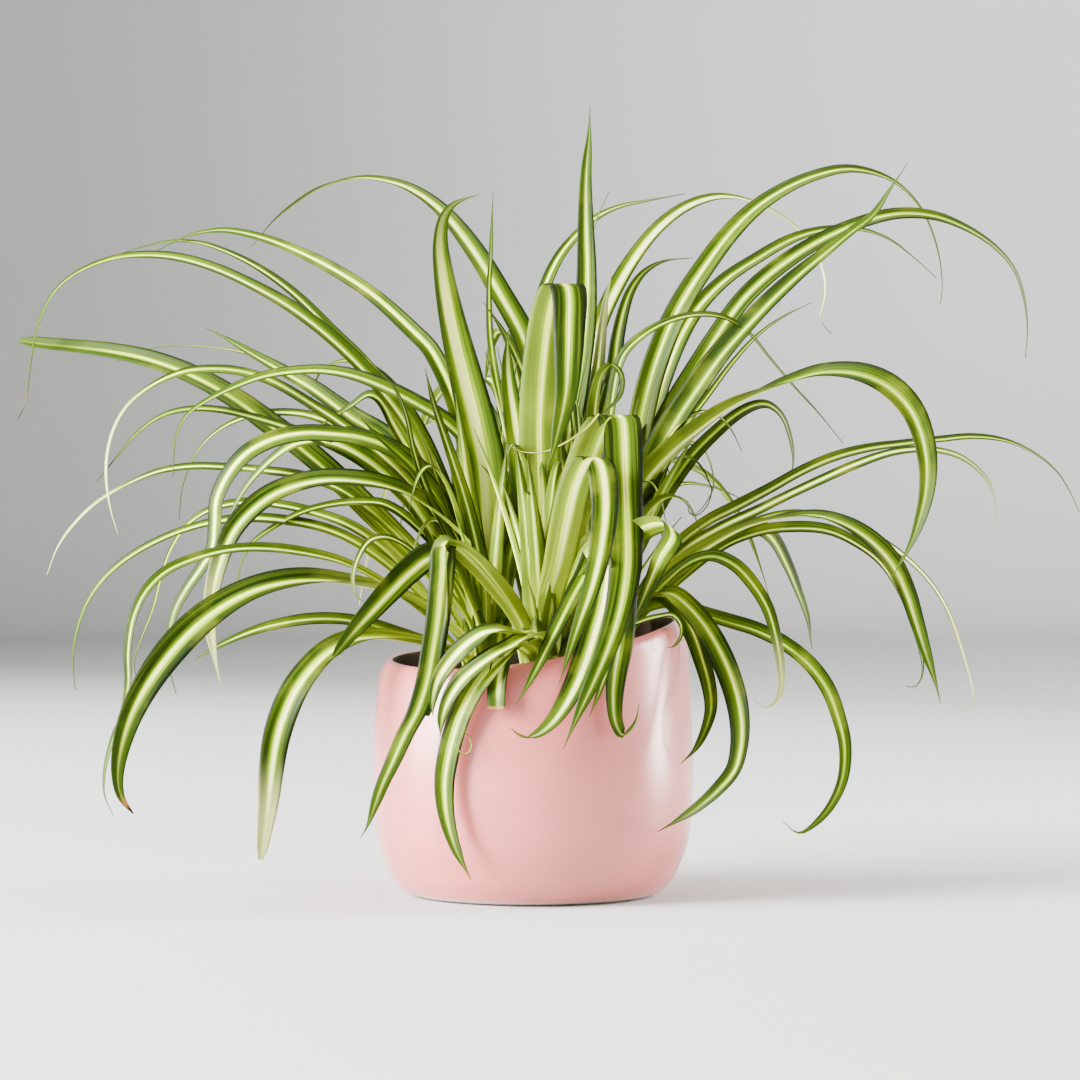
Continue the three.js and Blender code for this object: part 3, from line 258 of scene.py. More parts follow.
RIGHT_LEAVES = [
    [[17, 4], [-0.2, -0.25], [-40, 100], [36, 140, 44, 175, 55, 203, 68, 219, 82, 231, 97, 242, 112, 250,
     128, 256, 144, 260.5, 160, 260.5, 172, 257, 182, 250.5, 190, 241, 195, 229, 197.5, 215, 197, 201,
     194, 188, 190, 177, 185, 167.5, 179.5, 158.5]],
    [[14, 2.6], [0.3, 0.35], [60, 30], [38, 150, 45, 190, 52, 225, 58, 253, 66, 277, 75, 296, 86, 313,
     98, 329, 111, 342, 126, 352, 141, 358.5, 156, 361.8, 170, 360, 182, 354.5, 192, 345, 198.5, 333,
     203, 318, 204.5, 303, 203.5, 295]],
    [[10.5, 3.1], [0.6, 0.7], [45, 40], [38, 150, 48, 195, 58, 235, 70, 270, 81, 291, 95, 306, 112, 317.5,
     130, 327.5, 147, 332, 163, 332, 178, 327, 191, 317.5, 201.5, 308]],
    [[7, 2.5], [-0.1, 0.2, 0.4], [42, 38], [34, 150, 36, 190, 38, 225, 40, 250, 45, 269, 56, 280, 70, 287,
     84, 289.5, 97, 287.5, 108, 280, 118, 268, 130, 254, 143, 240, 155, 225.5]],
    [[16, 2.4], [0.05, 0.1], [60, 45], [36, 140, 44, 170, 54, 200, 67, 230, 81, 252, 94, 270, 107, 284.5,
     119, 297, 132, 309, 146, 320.5, 159, 331, 170, 339.5, 179, 353, 187, 365]],
    [[11.5, 3.7], [0.2, 0.25], [50, 45], [38, 140, 46, 178, 56, 212, 68, 239, 81, 261, 93, 280,
     105, 296.5, 118, 309, 133, 320, 149, 329, 165, 335.5, 182, 339.5, 200, 338.5, 216, 332.5, 230, 323.5,
     240, 312, 245, 298, 247, 283, 246, 268]],
    [[6, 2], [0.4, 0.45], [45, 35], [38, 140, 50, 180, 63, 212, 76, 234, 88, 250, 100, 266, 112, 279,
     125, 288.5, 139, 295.5]],
    [[9, 3.7], [0.45, 0.4], [45, 60], [40, 140, 56, 180, 76, 214, 95, 234, 108, 243, 117, 244.5, 124, 239,
     128, 229, 130, 217, 128.5, 206]],
    [[7.5, 3.4], [0.25, 0.25], [45, 35], [40, 128, 54, 150, 70, 172, 86, 185, 103, 194, 118, 202,
     134, 211, 150, 218, 167, 222.5, 185, 225, 203, 227, 220, 228.5, 236, 226.5, 250, 220.5, 261, 212,
     268, 202, 273, 191]],
    [[7.5, 3.7], [0, 0], [42, 45], [40, 125, 55, 148, 74, 170, 93, 182, 112, 191, 128, 199, 145, 207,
     162, 214.5, 180, 220.5, 197, 222, 212, 219, 223, 211.5, 229.5, 202, 231.5, 192, 230.5, 184]],
    [[13, 4.3], [-0.2, -0.2], [-25, 90], [38, 124, 52, 142, 70, 160, 88, 173, 106, 183, 124, 188,
     142, 189, 157, 184.5, 170, 176, 180, 165, 187, 151, 192, 136, 197, 120, 201, 107, 204, 95]],
    [[6, 2.6], [0.1, 0.1], [40, 45], [40, 124, 58, 146, 80, 168, 103, 182, 125, 189.5, 146, 188.5,
     162, 182.5, 176, 175.5, 188, 166.5, 199, 155, 207, 142, 213, 126, 217.5, 111, 220, 100, 218.5, 94,
     214.5, 92, 212.5, 97.5]],
    [[9, 3.1], [-0.05, -0.05], [42, 45], [40, 122, 56, 140, 76, 159, 96, 174, 114, 181, 132, 183,
     148, 181.5, 162, 175, 174, 165.5, 184, 150, 190.5, 133, 194.5, 118, 194.5, 109, 191, 103.5,
     186.5, 104]],
    [[9, 3.1], [-0.35, -0.4], [45, 50], [38, 122, 50, 138, 64, 153, 78, 165, 90, 168.5, 101, 164,
     110, 154.5, 117, 143, 121, 130, 123.5, 116, 124, 104, 121, 96, 115.5, 93.5, 111, 97]],
    [[14, 3.1], [0.35, 0.35], [50, 65], [42, 124, 58, 148, 78, 168, 96, 180, 110, 183.5, 119, 178,
     126, 166, 132, 152, 137, 138, 139.5, 122.5]],
    [[9, 4], [-0.3, -0.4], [42, 60], [38, 122, 50, 136, 62, 143, 73, 144, 84, 140, 97, 136, 112, 131.5,
     126, 124.5, 138, 115, 147, 103, 152.5, 89, 156, 74, 155, 58, 149.5, 45, 141, 35, 133, 30.5,
     125, 36]],
    [[12.5, 4], [-0.45, -0.93], [15, 75], [38, 122, 48, 138, 58, 148, 68, 149.5, 77, 143, 85.5, 133,
     92.5, 121.5, 98, 109.5, 102, 97, 104, 84, 103.5, 72, 100.5, 61.5, 92, 51.5, 82, 43, 72, 36.5,
     62.5, 31]],
    [[10.5, 3.4], [-0.35, -0.6], [50, 50], [37, 121, 46, 137, 56, 147, 66, 148.5, 74, 141.5, 80, 130,
     84.5, 117, 88, 104, 89, 93, 86.5, 83, 81.5, 73, 74, 65]],
    [[4, 2.1], [0.5, 0.6], [45, 45], [42, 140, 54, 175, 64, 203, 74, 213, 83, 210.5, 89, 203.5, 87.5, 195,
     82, 189.5, 78, 191, 77.5, 197]],
    [[4, 2.1], [0.7, 0.7], [40, 40], [42, 140, 54, 175, 64, 199, 75, 205, 87, 204, 98, 200.5, 108, 195]],
    [[4.5, 2.6], [0.75, 0.7], [45, 50], [42, 145, 55, 190, 67, 215, 77, 225, 84.5, 223, 89, 214, 90, 203,
     85, 193.5, 80, 189]],
    [[11.5, 3.1], [-0.1, -0.1], [60, 55], [38, 135, 47, 162, 56, 185, 63, 203, 69, 217]],
    [[3.5, 3], [-0.6, -0.75], [60, 60], [40, 122, 48, 133, 56, 137, 64, 139, 70, 139.5, 74, 135,
     74, 128.5, 70.5, 124, 67, 123]],
]
BACK_LEAVES = [
    [[14, 3.4], [60, 200], [50, 10], [8, 160, 8, 205, 5, 243, -4, 277, -17, 301, -30, 322, -45, 340.5,
     -60, 351.5, -75, 356.5, -90, 357.3, -105, 353.5, -119, 345, -130, 336, -140, 324]],
    [[10.5, 2.5], [50, 120], [45, 30], [10, 160, 16, 205, 24, 245, 32, 281, 42, 304, 54, 323, 66, 336,
     79, 344.5, 93, 348.3, 107, 346.5, 121, 340.5, 133, 332, 141, 321.5, 145.5, 308, 145.5, 297,
     143.5, 287.5, 149, 280]],
    [[6, 2.1], [40, 50], [45, 45], [0, 160, -8, 205, -16, 245, -21, 275, -22, 300, -21, 322, -20, 351]],
    [[14, 3.5], [30, 34], [100, 95], [7, 150, 11, 190, 17, 225, 22, 255, 26, 285, 27, 310, 26.5, 335,
     26.5, 358, 28, 378, 28.5, 394]],
    [[10.5, 2.8], [40, 90], [40, 30], [2, 160, -2, 205, -2, 245, 0, 275, 5, 299, 12, 316, 21, 328,
     32, 338, 44, 343.5, 58, 346.5, 76, 350]],
    [[12.5, 2.8], [44, 80], [30, 30], [12, 150, 22, 190, 32, 225, 40, 258, 43, 280, 48, 299, 55, 310,
     65, 316, 80, 318]],
    [[8, 3.1], [30, 40], [75, 65], [8, 150, 8, 190, 4, 225, -2, 252, -10, 272, -18, 286, -25, 296]],
    [[10.5, 3.1], [36, 40], [60, 55], [10, 150, 18, 190, 26, 225, 32, 258, 35, 285, 37, 300, 40, 312]],
    [[4.5, 2.1], [40, 60], [20, 20], [6, 160, 10, 210, 16, 260, 24, 305, 31, 335, 38, 351]],
]
LEAVES = {"left": LEFT_LEAVES, "front": FRONT_LEAVES, "right": RIGHT_LEAVES, "back": BACK_LEAVES}

# Leaves that the front view hides, drawn by a seeded rule: for each crown the
# number of leaves, how far they reach, how high they arch, where the tip ends
# below the top of the arch, and their widths, each as [least, most]
SEED = 20897
LOOK_SEED = 7
GRAIN_SEED = 11
FILL = [
    ["back", 8, [150, 245], [90, 160], [60, 150], [8, 13]],
    ["back", 5, [30, 90], [70, 140], [0, 30], [9, 13]],
    ["left", 3, [25, 70], [60, 120], [0, 25], [8, 12]],
    ["right", 5, [30, 90], [60, 130], [0, 30], [8, 12]],
    ["front", 5, [15, 45], [50, 85], [-45, -15], [10, 13]],
]
FILL_SPREAD = 38
FILL_TAPER = 2.2
FILL_ROLL = 25
FILL_JITTER = 0.1
# How far along its reach and its rise the two middle points of an arch are
ARCH_EARLY = [0.12, 0.9]
ARCH_LATE = [0.7, 1.5]

# Young leaves of a crown: their number, where they head from straight outward,
# how far to each side they spread, and their reach and rise, each [least, most]
INNER = [8, 0, 80, [15, 50], [70, 135]]
HEART = [7, 180, 75, [12, 34], [95, 175]]
INNER_WIDTH = [11, 15]
INNER_TAPER = 1.5
INNER_ROLL = 50
INNER_LEAN_POWER = 1.6

# Broad pale leaf bases round each stem
SHEATHS = 9
SHEATH_FOOT_Z = 100
SHEATH_FOOT_OUT = STEM_RADIUS - 3.5
SHEATH_WIDTH = [11, 15]
SHEATH_TIP_WIDTH = 4
SHEATH_TAPER = 3
SHEATH_HEIGHT = [26, 44]
SHEATH_LEAN = [3.5, 2.5]
SHEATH_STATIONS = 24
SHEATH_KEEL = 0.7

# Looks of single leaves: [stripe, paleness, darkness, and a dried tip if any].
# Stripe is the share of the width that is cream, the others go from 0 to 1. The
# rows are counted on through all of LEAVES, from 0. Other leaves draw theirs.
LOOKS = {
    0: [0.12, 0.5, 0.8], 1: [0.12, 0.4, 0.9], 2: [0.2, 0.7, 0.7, 1], 3: [0.06, 0.2, 1],
    4: [0.16, 0.5, 0.9], 6: [0.2, 0.9, 0.8], 8: [0.14, 0.5, 1], 10: [0.16, 0.7, 0.9], 11: [0.2, 0.5, 0.9],
    12: [0.16, 0.9, 1], 18: [0.1, 0.6, 1, 1], 20: [0.2, 0.9, 0.9], 21: [0.18, 0.5, 0.9],
    22: [0.46, 0.45, 0.35], 24: [0.1, 0.2, 0.2], 25: [0.26, 0.8, 0.6], 29: [0.2, 0.75, 0.9],
    30: [0.24, 0.7, 0.9], 31: [0.26, 0.75, 0.9], 32: [0.2, 0.7, 1, 0.5], 33: [0.15, 0.6, 1],
    34: [0.16, 0.7, 0.9], 35: [0.08, 0.7, 1], 37: [0.12, 0.75, 1], 38: [0.2, 0.75, 0.9],
    40: [0.22, 0.8, 0.9], 42: [0.18, 0.8, 0.9], 43: [0.16, 0.6, 0.4], 44: [0.3, 0.5, 0.2],
    45: [0.14, 0.8, 0.9], 46: [0.12, 0.5, 0.8], 48: [0.05, 0.2, 1], 49: [0.1, 0.3, 0.9],
    56: [0.45, 0.9, 0.3], 57: [0.16, 0.5, 1], 61: [0.16, 0.7, 0.9], 66: [0.1, 0.1, 0],
    67: [0.2, 0.6, 0.1, 1], 68: [0.28, 0.7, 0.7], 69: [0.5, 1, 0.2, 1], 71: [0.16, 0.6, 1],
}
CHANCE_LOOK = [[0.08, 0.24], [0.3, 0.9], [0.6, 1]]
YOUNG_LOOK = [[0.14, 0.3], [0.3, 0.7], [0.1, 0.5]]
SHEATH_LOOK = [0.4, 0.3, 0.1]
CURL_LOOK = [0.2, 0.8, 0.6]

# Hair-thin curls: crown, width, depth at both ends, route in the front view
CURL_TIP_WIDTH = 0.6
CURL_TAPER = 2
CURL_ROLL = 45
CURLS = [
    ["front", 1.5, [-54, -60], [33, 240, 27, 233, 16, 225.5, 5, 221, -5, 221, -13, 225, -17, 232]],
    ["front", 1, [-80, -81], [-39, 76, -38.2, 73, -36.4, 70.8, -34, 70, -31.9, 71, -30.8, 73.4,
     -31, 76.4, -32.4, 79.2, -34.8, 80.6]],
]

# Stage, in metres
STAGE_RADIUS = 3.4
STAGE_COVE = 1
STAGE_HEIGHT = 5.5
STAGE_RINGS = [0.05, 0.4, 1.2, STAGE_RADIUS]
STAGE_COVE_STEPS = 12
STAGE_SIDES = 128

# Lights, in metres and watts: place, aim, size, power, and colour if not white
LIGHTS = {
    "key": [(-1.9, -1.1, 1.5), (0, 0, 0.2), (0.8, 0.8), 165],
    "window": [(-2.4, -0.75, 0.85), (0, 0, 0.1), (2, 1.5), 640],
    "fill": [(1.6, -1.2, 0.9), (0, 0, 0.2), (0.9, 1.3), 6],
    "edge": [(1.2, 0.2, 0.45), (0, 0, 0.1), (0.34, 0.9), 50, (1, 0.97, 0.92)],
    "top": [(0, 0.2, 2), (0, 0, 0), (1.2, 1.2), 40],
}
WORLD_STRENGTH = 0.3


def mix(a, b, t):
    return a + (b - a) * t


def ease(t):
    s = np.clip(t, 0, 1)
    return s * s * (3 - 2 * s)


def unit(rows):
    return rows / np.linalg.norm(rows, axis=-1, keepdims=True)


def pairs(route):
    return np.reshape(route, (-1, 2)).tolist()


def full_size(size):
    """Width, taper and tip width of a leaf."""
    return (*size, TIP_WIDTH)[:3]


def smooth_route(points, samples):
    """Smooth curve through points, by cubic pieces over chord length."""
    points = np.array(points, float)
    last = len(points) - 1
    along = np.concatenate([[0], np.cumsum(np.linalg.norm(np.diff(points, axis=0), axis=1))])
    before = np.maximum(0, np.arange(last + 1) - 1)
    after = np.minimum(last, np.arange(last + 1) + 1)
    slope = (points[after] - points[before]) / (along[after] - along[before])[:, None]
    s = np.linspace(0, along[-1], samples + 1)
    span = np.clip(np.searchsorted(along, s) - 1, 0, last - 1)
    h = (along[span + 1] - along[span])[:, None]
    t = (s - along[span])[:, None] / h
    end = t * t * (3 - 2 * t)
    leave = h * t * (1 - t) * (1 - t)
    arrive = h * t * t * (t - 1)
    return (
        points[span] * (1 - end) + points[span + 1] * end
        + slope[span] * leave + slope[span + 1] * arrive
    )


def smoothed(values, passes):
    """Takes the kinks out of a row of numbers and keeps its ends."""
    values = values.copy()
    for _ in range(passes):
        values[1:-1] = (values[:-2] + 2 * values[1:-1] + values[2:]) / 4
    return values


def scatter(order):
    """From 0 to 1, and far from that of the leaves just before."""
    return (order * GOLDEN) % 1


def start_height(order):
    return LEAF_START_Z + LEAF_START_RISE * scatter(order)


def outward(angle):
    """Level unit vector at an angle in plan."""
    return np.array([math.cos(angle), math.sin(angle), 0])


def facing(crown):
    """Angle in plan from the middle of the clump to a crown."""
    x, y = crown
    return math.atan2(y, x - HUB_X)


def depth_at(crown, x, half, lie, t, order):
    """Depth of a leaf at its place across, inside its crown's quarter."""
    crown_y = crown[1]
    there, at_tip, station = (*lie, MIDWAY)[:3]
    margin = math.sqrt(2) * (half + SIDE_CLEARANCE)
    across = np.abs(x - HUB_X)
    if crown_y:
        start = abs(crown_y) + START_SPREAD * (scatter(order) - 0.5)
    else:
        start = START_SHARE * there
    early = mix(start, there, ease(t / station))
    late = mix(there, at_tip, ease((t - station) / (1 - station)))
    value = np.where(t < station, early, late)
    if not crown_y:
        return value * np.maximum(0, across - margin)
    ring = np.sqrt(np.maximum(0, value * value - x * x))
    clear = across + margin * ease(t / CLEARANCE_GROWS_OVER)
    return math.copysign(1, crown_y) * np.maximum(clear, ring)


def at_depth(flat, y):
    """Points of the front view, moved along their lines of sight to the depth y."""
    scale = 1 + y / EYE_DISTANCE
    x = EYE_X + (flat[:, 0] - EYE_X) * scale
    z = EYE_Z + (flat[:, 1] - EYE_Z) * scale
    return np.stack([x, y, z], axis=1)


def viewed_line(crown, size, lie, route, order):
    """Leaf read in the front view, set back or forward to its depth."""
    width, taper, tip_width = full_size(size)
    points = pairs(route)
    first_x, first_z = points[0]
    crown_x = crown[0]
    start = [
        crown_x + LEAF_START_OUT * float(np.sign(first_x - crown_x)),
        min(first_z - START_UNDER_ROUTE, start_height(order)),
    ]
    flat = smooth_route([start, *points], STATIONS)
    t = np.linspace(0, 1, STATIONS + 1)
    half = 0.5 * mix(width, tip_width, t ** taper)
    x = flat[:, 0]
    for _ in range(DEPTH_TURNS):
        y = depth_at(crown, x, half, lie, t, order)
        x = at_depth(flat, y)[:, 0]
    return at_depth(flat, smoothed(y, DEPTH_SMOOTHING))


def arch(crown, heading, reach, rise, drop, order):
    """Hidden leaf: one arch from the crown's stem along a heading in plan."""
    out = outward(heading)
    start = np.array([*crown, start_height(order)]) + LEAF_START_OUT * out

    def at(share, up):
        return start + out * reach * share + np.array([0, 0, up])

    early = at(ARCH_EARLY[0], rise * ARCH_EARLY[1])
    late = at(ARCH_LATE[0], rise * ARCH_LATE[1])
    end = at(1, rise - drop)
    t = np.linspace(0, 1, STATIONS + 1)[:, None]
    middle = 3 * early * t * (1 - t) ** 2 + 3 * late * t * t * (1 - t)
    return start * (1 - t) ** 3 + middle + end * t ** 3


class Draws:
    """The same draws in the same order give the same plant every time."""

    def __init__(self, seed):
        self.seed = seed

    def __call__(self, least, most):
        self.seed = (self.seed * 1664525 + 1013904223) % 4294967296
        return mix(least, most, self.seed / 4294967296)


def leaf_axes(line, t, roll, crease):
    """Unit vectors across a leaf and out of its upper face, all along its line."""
    rows = len(line)
    heading = line[-1] - line[0]
    heading[2] = 0
    heading = heading / np.linalg.norm(heading)
    level = np.array([-heading[1], heading[0], 0])
    hand = -1 if heading[0] < 0 else 1
    ahead = np.minimum(rows - 1, np.arange(rows) + 1)
    behind = np.maximum(0, np.arange(rows) - 1)
    tangent = unit(line[ahead] - line[behind])
    side = unit(level - tangent * (tangent @ level)[:, None])
    if crease is not None:
        tilt = math.radians(crease)
        side = np.tile([math.cos(tilt), 0, math.sin(tilt)], (rows, 1))
    up = unit(np.cross(tangent, side))
    turn = np.radians(mix(roll[0], roll[1], ease((t - ROLL_FROM) / (1 - ROLL_FROM)))) * hand
    turn_cos = np.cos(turn)[:, None]
    turn_sin = np.sin(turn)[:, None]
    return side * turn_cos + up * turn_sin, up * turn_cos - side * turn_sin


def half_widths(size, t):
    width, taper, tip_width = full_size(size)
    swell = mix(BASE_WIDTH, 1, ease(t / FULL_WIDTH_AT))
    half = 0.5 * mix(width * swell, tip_width, t ** taper)
    ending, left, power = POINTED_END if tip_width <= POINTED_UP_TO else BLUNT_END
    return half * mix(1, left, ease((t - 1 + ending) / ending) ** power)


def per_point(shape, *parts):
    """One row of numbers for every point of a ribbon, a number from each part."""
    spread = [np.broadcast_to(part, shape).ravel() for part in parts]
    return np.stack(spread, axis=1)


class Ribbons:
    """Leaves of one crown as closed ribbons in one mesh, with the numbers that
    the leaf material reads on every point."""

    def __init__(self):
        self.points = []
        self.faces = []
        self.smooth = []
        self.caps = []
        self.numbers = []
        self.count = 0

    def add(self, line, size, roll, look, chance, fold=KEEL, crease=None):
        """Adds a leaf along a line. Chance, from 0 to 1, sets its wave and its
        markings apart from those of the other leaves."""
        rows = len(line)
        t = np.linspace(0, 1, rows)
        right, normal = leaf_axes(line, t, roll, crease)
        half = half_widths(size, t)[:, None]
        along = (t * np.linalg.norm(np.diff(line, axis=0), axis=1).sum())[:, None]
        columns = np.linspace(-1, 1, COLUMNS + 1)
        off = np.abs(columns)
        trough = fold * mix(KEEL_AT_BASE, KEEL_OUTWARD, ease(t / KEEL_CHANGES_OVER))[:, None] * half
        wave = WAVE_HEIGHT * half * np.sin(along / mix(*WAVE_LENGTH, chance) + WAVE_SHIFT * chance)
        lift = trough * off ** KEEL_POWER + wave * columns * off
        thick = BLADE_HALF_THICK * (1 - EDGE_THINNING * columns ** 2)
        rib = MIDRIB * np.maximum(0, 1 - off * MIDRIB_NARROWNESS)
        rib = rib * np.minimum(1, half / MIDRIB_FULL_AT)
        base = line[:, None] + right[:, None] * (half * columns)[..., None]
        top = base + normal[:, None] * (lift + thick)[..., None]
        under = base + normal[:, None] * (lift - thick - rib)[..., None]
        self.points.append(np.concatenate([top, under[:, ::-1]], axis=1).reshape(-1, 3))

        n = 2 * (COLUMNS + 1)
        shape = (rows, n)
        across = np.concatenate([columns, columns[::-1]])
        is_under = np.arange(n) > COLUMNS
        look = (*look, 0)[:4]
        self.numbers.append(per_point(
            shape, across, half * across, along, t[:, None], is_under, chance, *look))
        row_start = self.count + np.arange(rows - 1)[:, None] * n
        first = row_start + np.arange(n)
        following = row_start + (np.arange(n) + 1) % n
        quads = np.stack([first + n, following + n, following, first], axis=-1)
        self.faces.append(quads.reshape(-1, 4))
        at_edge = np.isin(np.arange(n), [COLUMNS, n - 1])
        self.smooth.append(np.tile(~at_edge, rows - 1))
        for row in (0, rows - 1):
            start = self.count + row * n
            for k in range(COLUMNS):
                cap = [start + k, start + k + 1, start + n - 2 - k, start + n - 1 - k]
                self.caps.append(cap if row == 0 else cap[::-1])
        self.count += rows * n

    def build(self, name, material):
        faces = np.concatenate([*self.faces, self.caps])
        numbers = np.concatenate(self.numbers)
        smooth = np.concatenate([*self.smooth, np.zeros(len(self.caps), bool)])
        mesh = new_mesh(name, np.concatenate(self.points) * MM, faces.tolist(), smooth)
        store(mesh, "across", numbers[:, 0:3])
        store(mesh, "place", numbers[:, 3:6])
        store(mesh, "look", numbers[:, 6:9])
        store(mesh, "dried", numbers[:, 9])
        return piece(name, mesh, [material])


def new_mesh(name, points, faces, smooth):
    mesh = bpy.data.meshes.new(name)
    mesh.from_pydata(points.tolist(), [], faces)
    mesh.polygons.foreach_set("use_smooth", smooth)
    return mesh


def store(mesh, key, values):
    """Keeps one number, or a row of three, for every point of a mesh."""
    kind, field = ("FLOAT", "value") if values.ndim == 1 else ("FLOAT_VECTOR", "vector")
    values = np.ascontiguousarray(values, np.float32).ravel()
    mesh.attributes.new(key, kind, "POINT").data.foreach_set(field, values)


def piece(name, mesh, materials):
    made = bpy.data.objects.new(name, mesh)
    bpy.context.scene.collection.objects.link(made)
    for material in materials:
        mesh.materials.append(material)
    return made


# Materials

class Nodes:
    """Short calls for the nodes of one material."""

    def __init__(self, name):
        self.material = bpy.data.materials.new(name)
        self.material.use_nodes = True
        self.tree = self.material.node_tree
        self.tree.nodes.clear()
        self.output = self.tree.nodes.new("ShaderNodeOutputMaterial")

    def add(self, kind, inputs=None, **settings):
        made = self.tree.nodes.new(kind)
        for key, value in settings.items():
            setattr(made, key, value)
        for key, value in (inputs or {}).items():
            self.put(value, made.inputs[key])
        return made

    def put(self, value, socket):
        if isinstance(value, bpy.types.NodeSocket):
            self.tree.links.new(value, socket)
        elif isinstance(value, (tuple, list)) and socket.type == "RGBA":
            socket.default_value = (*value, 1)
        else:
            socket.default_value = value

    def result(self, kind, inputs, **settings):
        return self.add(kind, inputs, **settings).outputs[0]

    def math(self, operation, a, b=0):
        return self.result("ShaderNodeMath", {0: a, 1: b}, operation=operation)

    def plus(self, a, b):
        return self.math("ADD", a, b)

    def minus(self, a, b):
        return self.math("SUBTRACT", a, b)

    def times(self, a, b):
        return self.math("MULTIPLY", a, b)

    def step(self, value, low, high):
        """0 below low and 1 above high, smooth between them."""
        inputs = {"Value": value, "From Min": low, "From Max": high}
        return self.result("ShaderNodeMapRange", inputs, interpolation_type="SMOOTHSTEP")

    def scale(self, value, low, high):
        """0 to 1 becomes low to high."""
        return self.result("ShaderNodeMapRange", {"Value": value, "To Min": low, "To Max": high})

    def blend(self, factor, a, b):
        made = self.add("ShaderNodeMix", data_type="RGBA")
        self.put(factor, made.inputs[0])
        self.put(a, made.inputs[6])
        self.put(b, made.inputs[7])
        return made.outputs[2]

    def split(self, vector):
        return tuple(self.add("ShaderNodeSeparateXYZ", {0: vector}).outputs)

    def attribute(self, name):
        return self.split(self.add("ShaderNodeAttribute", attribute_name=name).outputs["Vector"])

    def position(self):
        """Place on the object, in metres."""
        return self.add("ShaderNodeTexCoord").outputs["Object"]

    def vector(self, x, y, z):
        return self.result("ShaderNodeCombineXYZ", {0: x, 1: y, 2: z})

    def from_axis(self, x, y):
        """Distance from the pot's axis."""
        flat = self.vector(x, y, 0)
        return self.add("ShaderNodeVectorMath", {0: flat}, operation="LENGTH").outputs["Value"]

    def noise(self, vector, scale, detail=2, roughness=0.5):
        return self.result("ShaderNodeTexNoise", {
            "Vector": vector, "Scale": scale, "Detail": detail, "Roughness": roughness,
        })

    def bump(self, height, strength, distance):
        inputs = {"Height": height, "Strength": strength, "Distance": distance}
        return self.result("ShaderNodeBump", inputs)

    def surface(self, inputs):
        """Ends the material with the one plain shader that most of them need."""
        return self.finish(self.result("ShaderNodeBsdfPrincipled", inputs))

    def finish(self, shader):
        self.tree.links.new(shader, self.output.inputs["Surface"])
        return self.material


def rgb(*values):
    """Screen colour, from 0 to 255, as the shaders take it."""
    return tuple((v / 255 / 12.92) if v < 11 else ((v / 255 + 0.055) / 1.055) ** 2.4 for v in values)


LEAF_EDGE = rgb(12, 20, 0)
LEAF_DARK = rgb(22, 36, 0)
LEAF_MID = rgb(64, 92, 0)
LEAF_LIGHT = rgb(130, 160, 18)
LEAF_LIME = rgb(206, 224, 50)
STRIPE_LIME = rgb(224, 236, 84)
STRIPE_CREAM = rgb(255, 255, 182)
LEAF_UNDER = rgb(138, 162, 30)
LEAF_THREAD = rgb(44, 66, 4)
LEAF_TIP = rgb(202, 210, 130)
LEAF_DRY = rgb(150, 104, 50)
LEAF_BLACK = rgb(30, 22, 16)
GLAZE = rgb(188, 92, 86)
GLAZE_PALE = rgb(196, 106, 99)
GLAZE_SPECK = rgb(190, 124, 116)
BARE_CLAY = rgb(222, 190, 176)
# Painted shade for the inner wall of the pot above the mix
POT_INSIDE_PAINTED_SHADE = rgb(46, 26, 16)
SOIL_DARK = rgb(38, 26, 20)
SOIL_LIGHT = rgb(82, 58, 42)
SOIL_FIBRE = rgb(128, 98, 70)
PERLITE_DARK = rgb(196, 188, 172)
PERLITE_LIGHT = rgb(232, 228, 218)
# Stage colours: the dim ones are painted shade for the left, the pale ones for the right
WALL_PAINTED_SHADE = rgb(134, 134, 132)
WALL_PALE = rgb(198, 198, 198)
FLOOR_PAINTED_SHADE = rgb(138, 138, 137)
FLOOR_PALE = rgb(200, 200, 199)
FLOOR_NEAR = rgb(182, 182, 181)


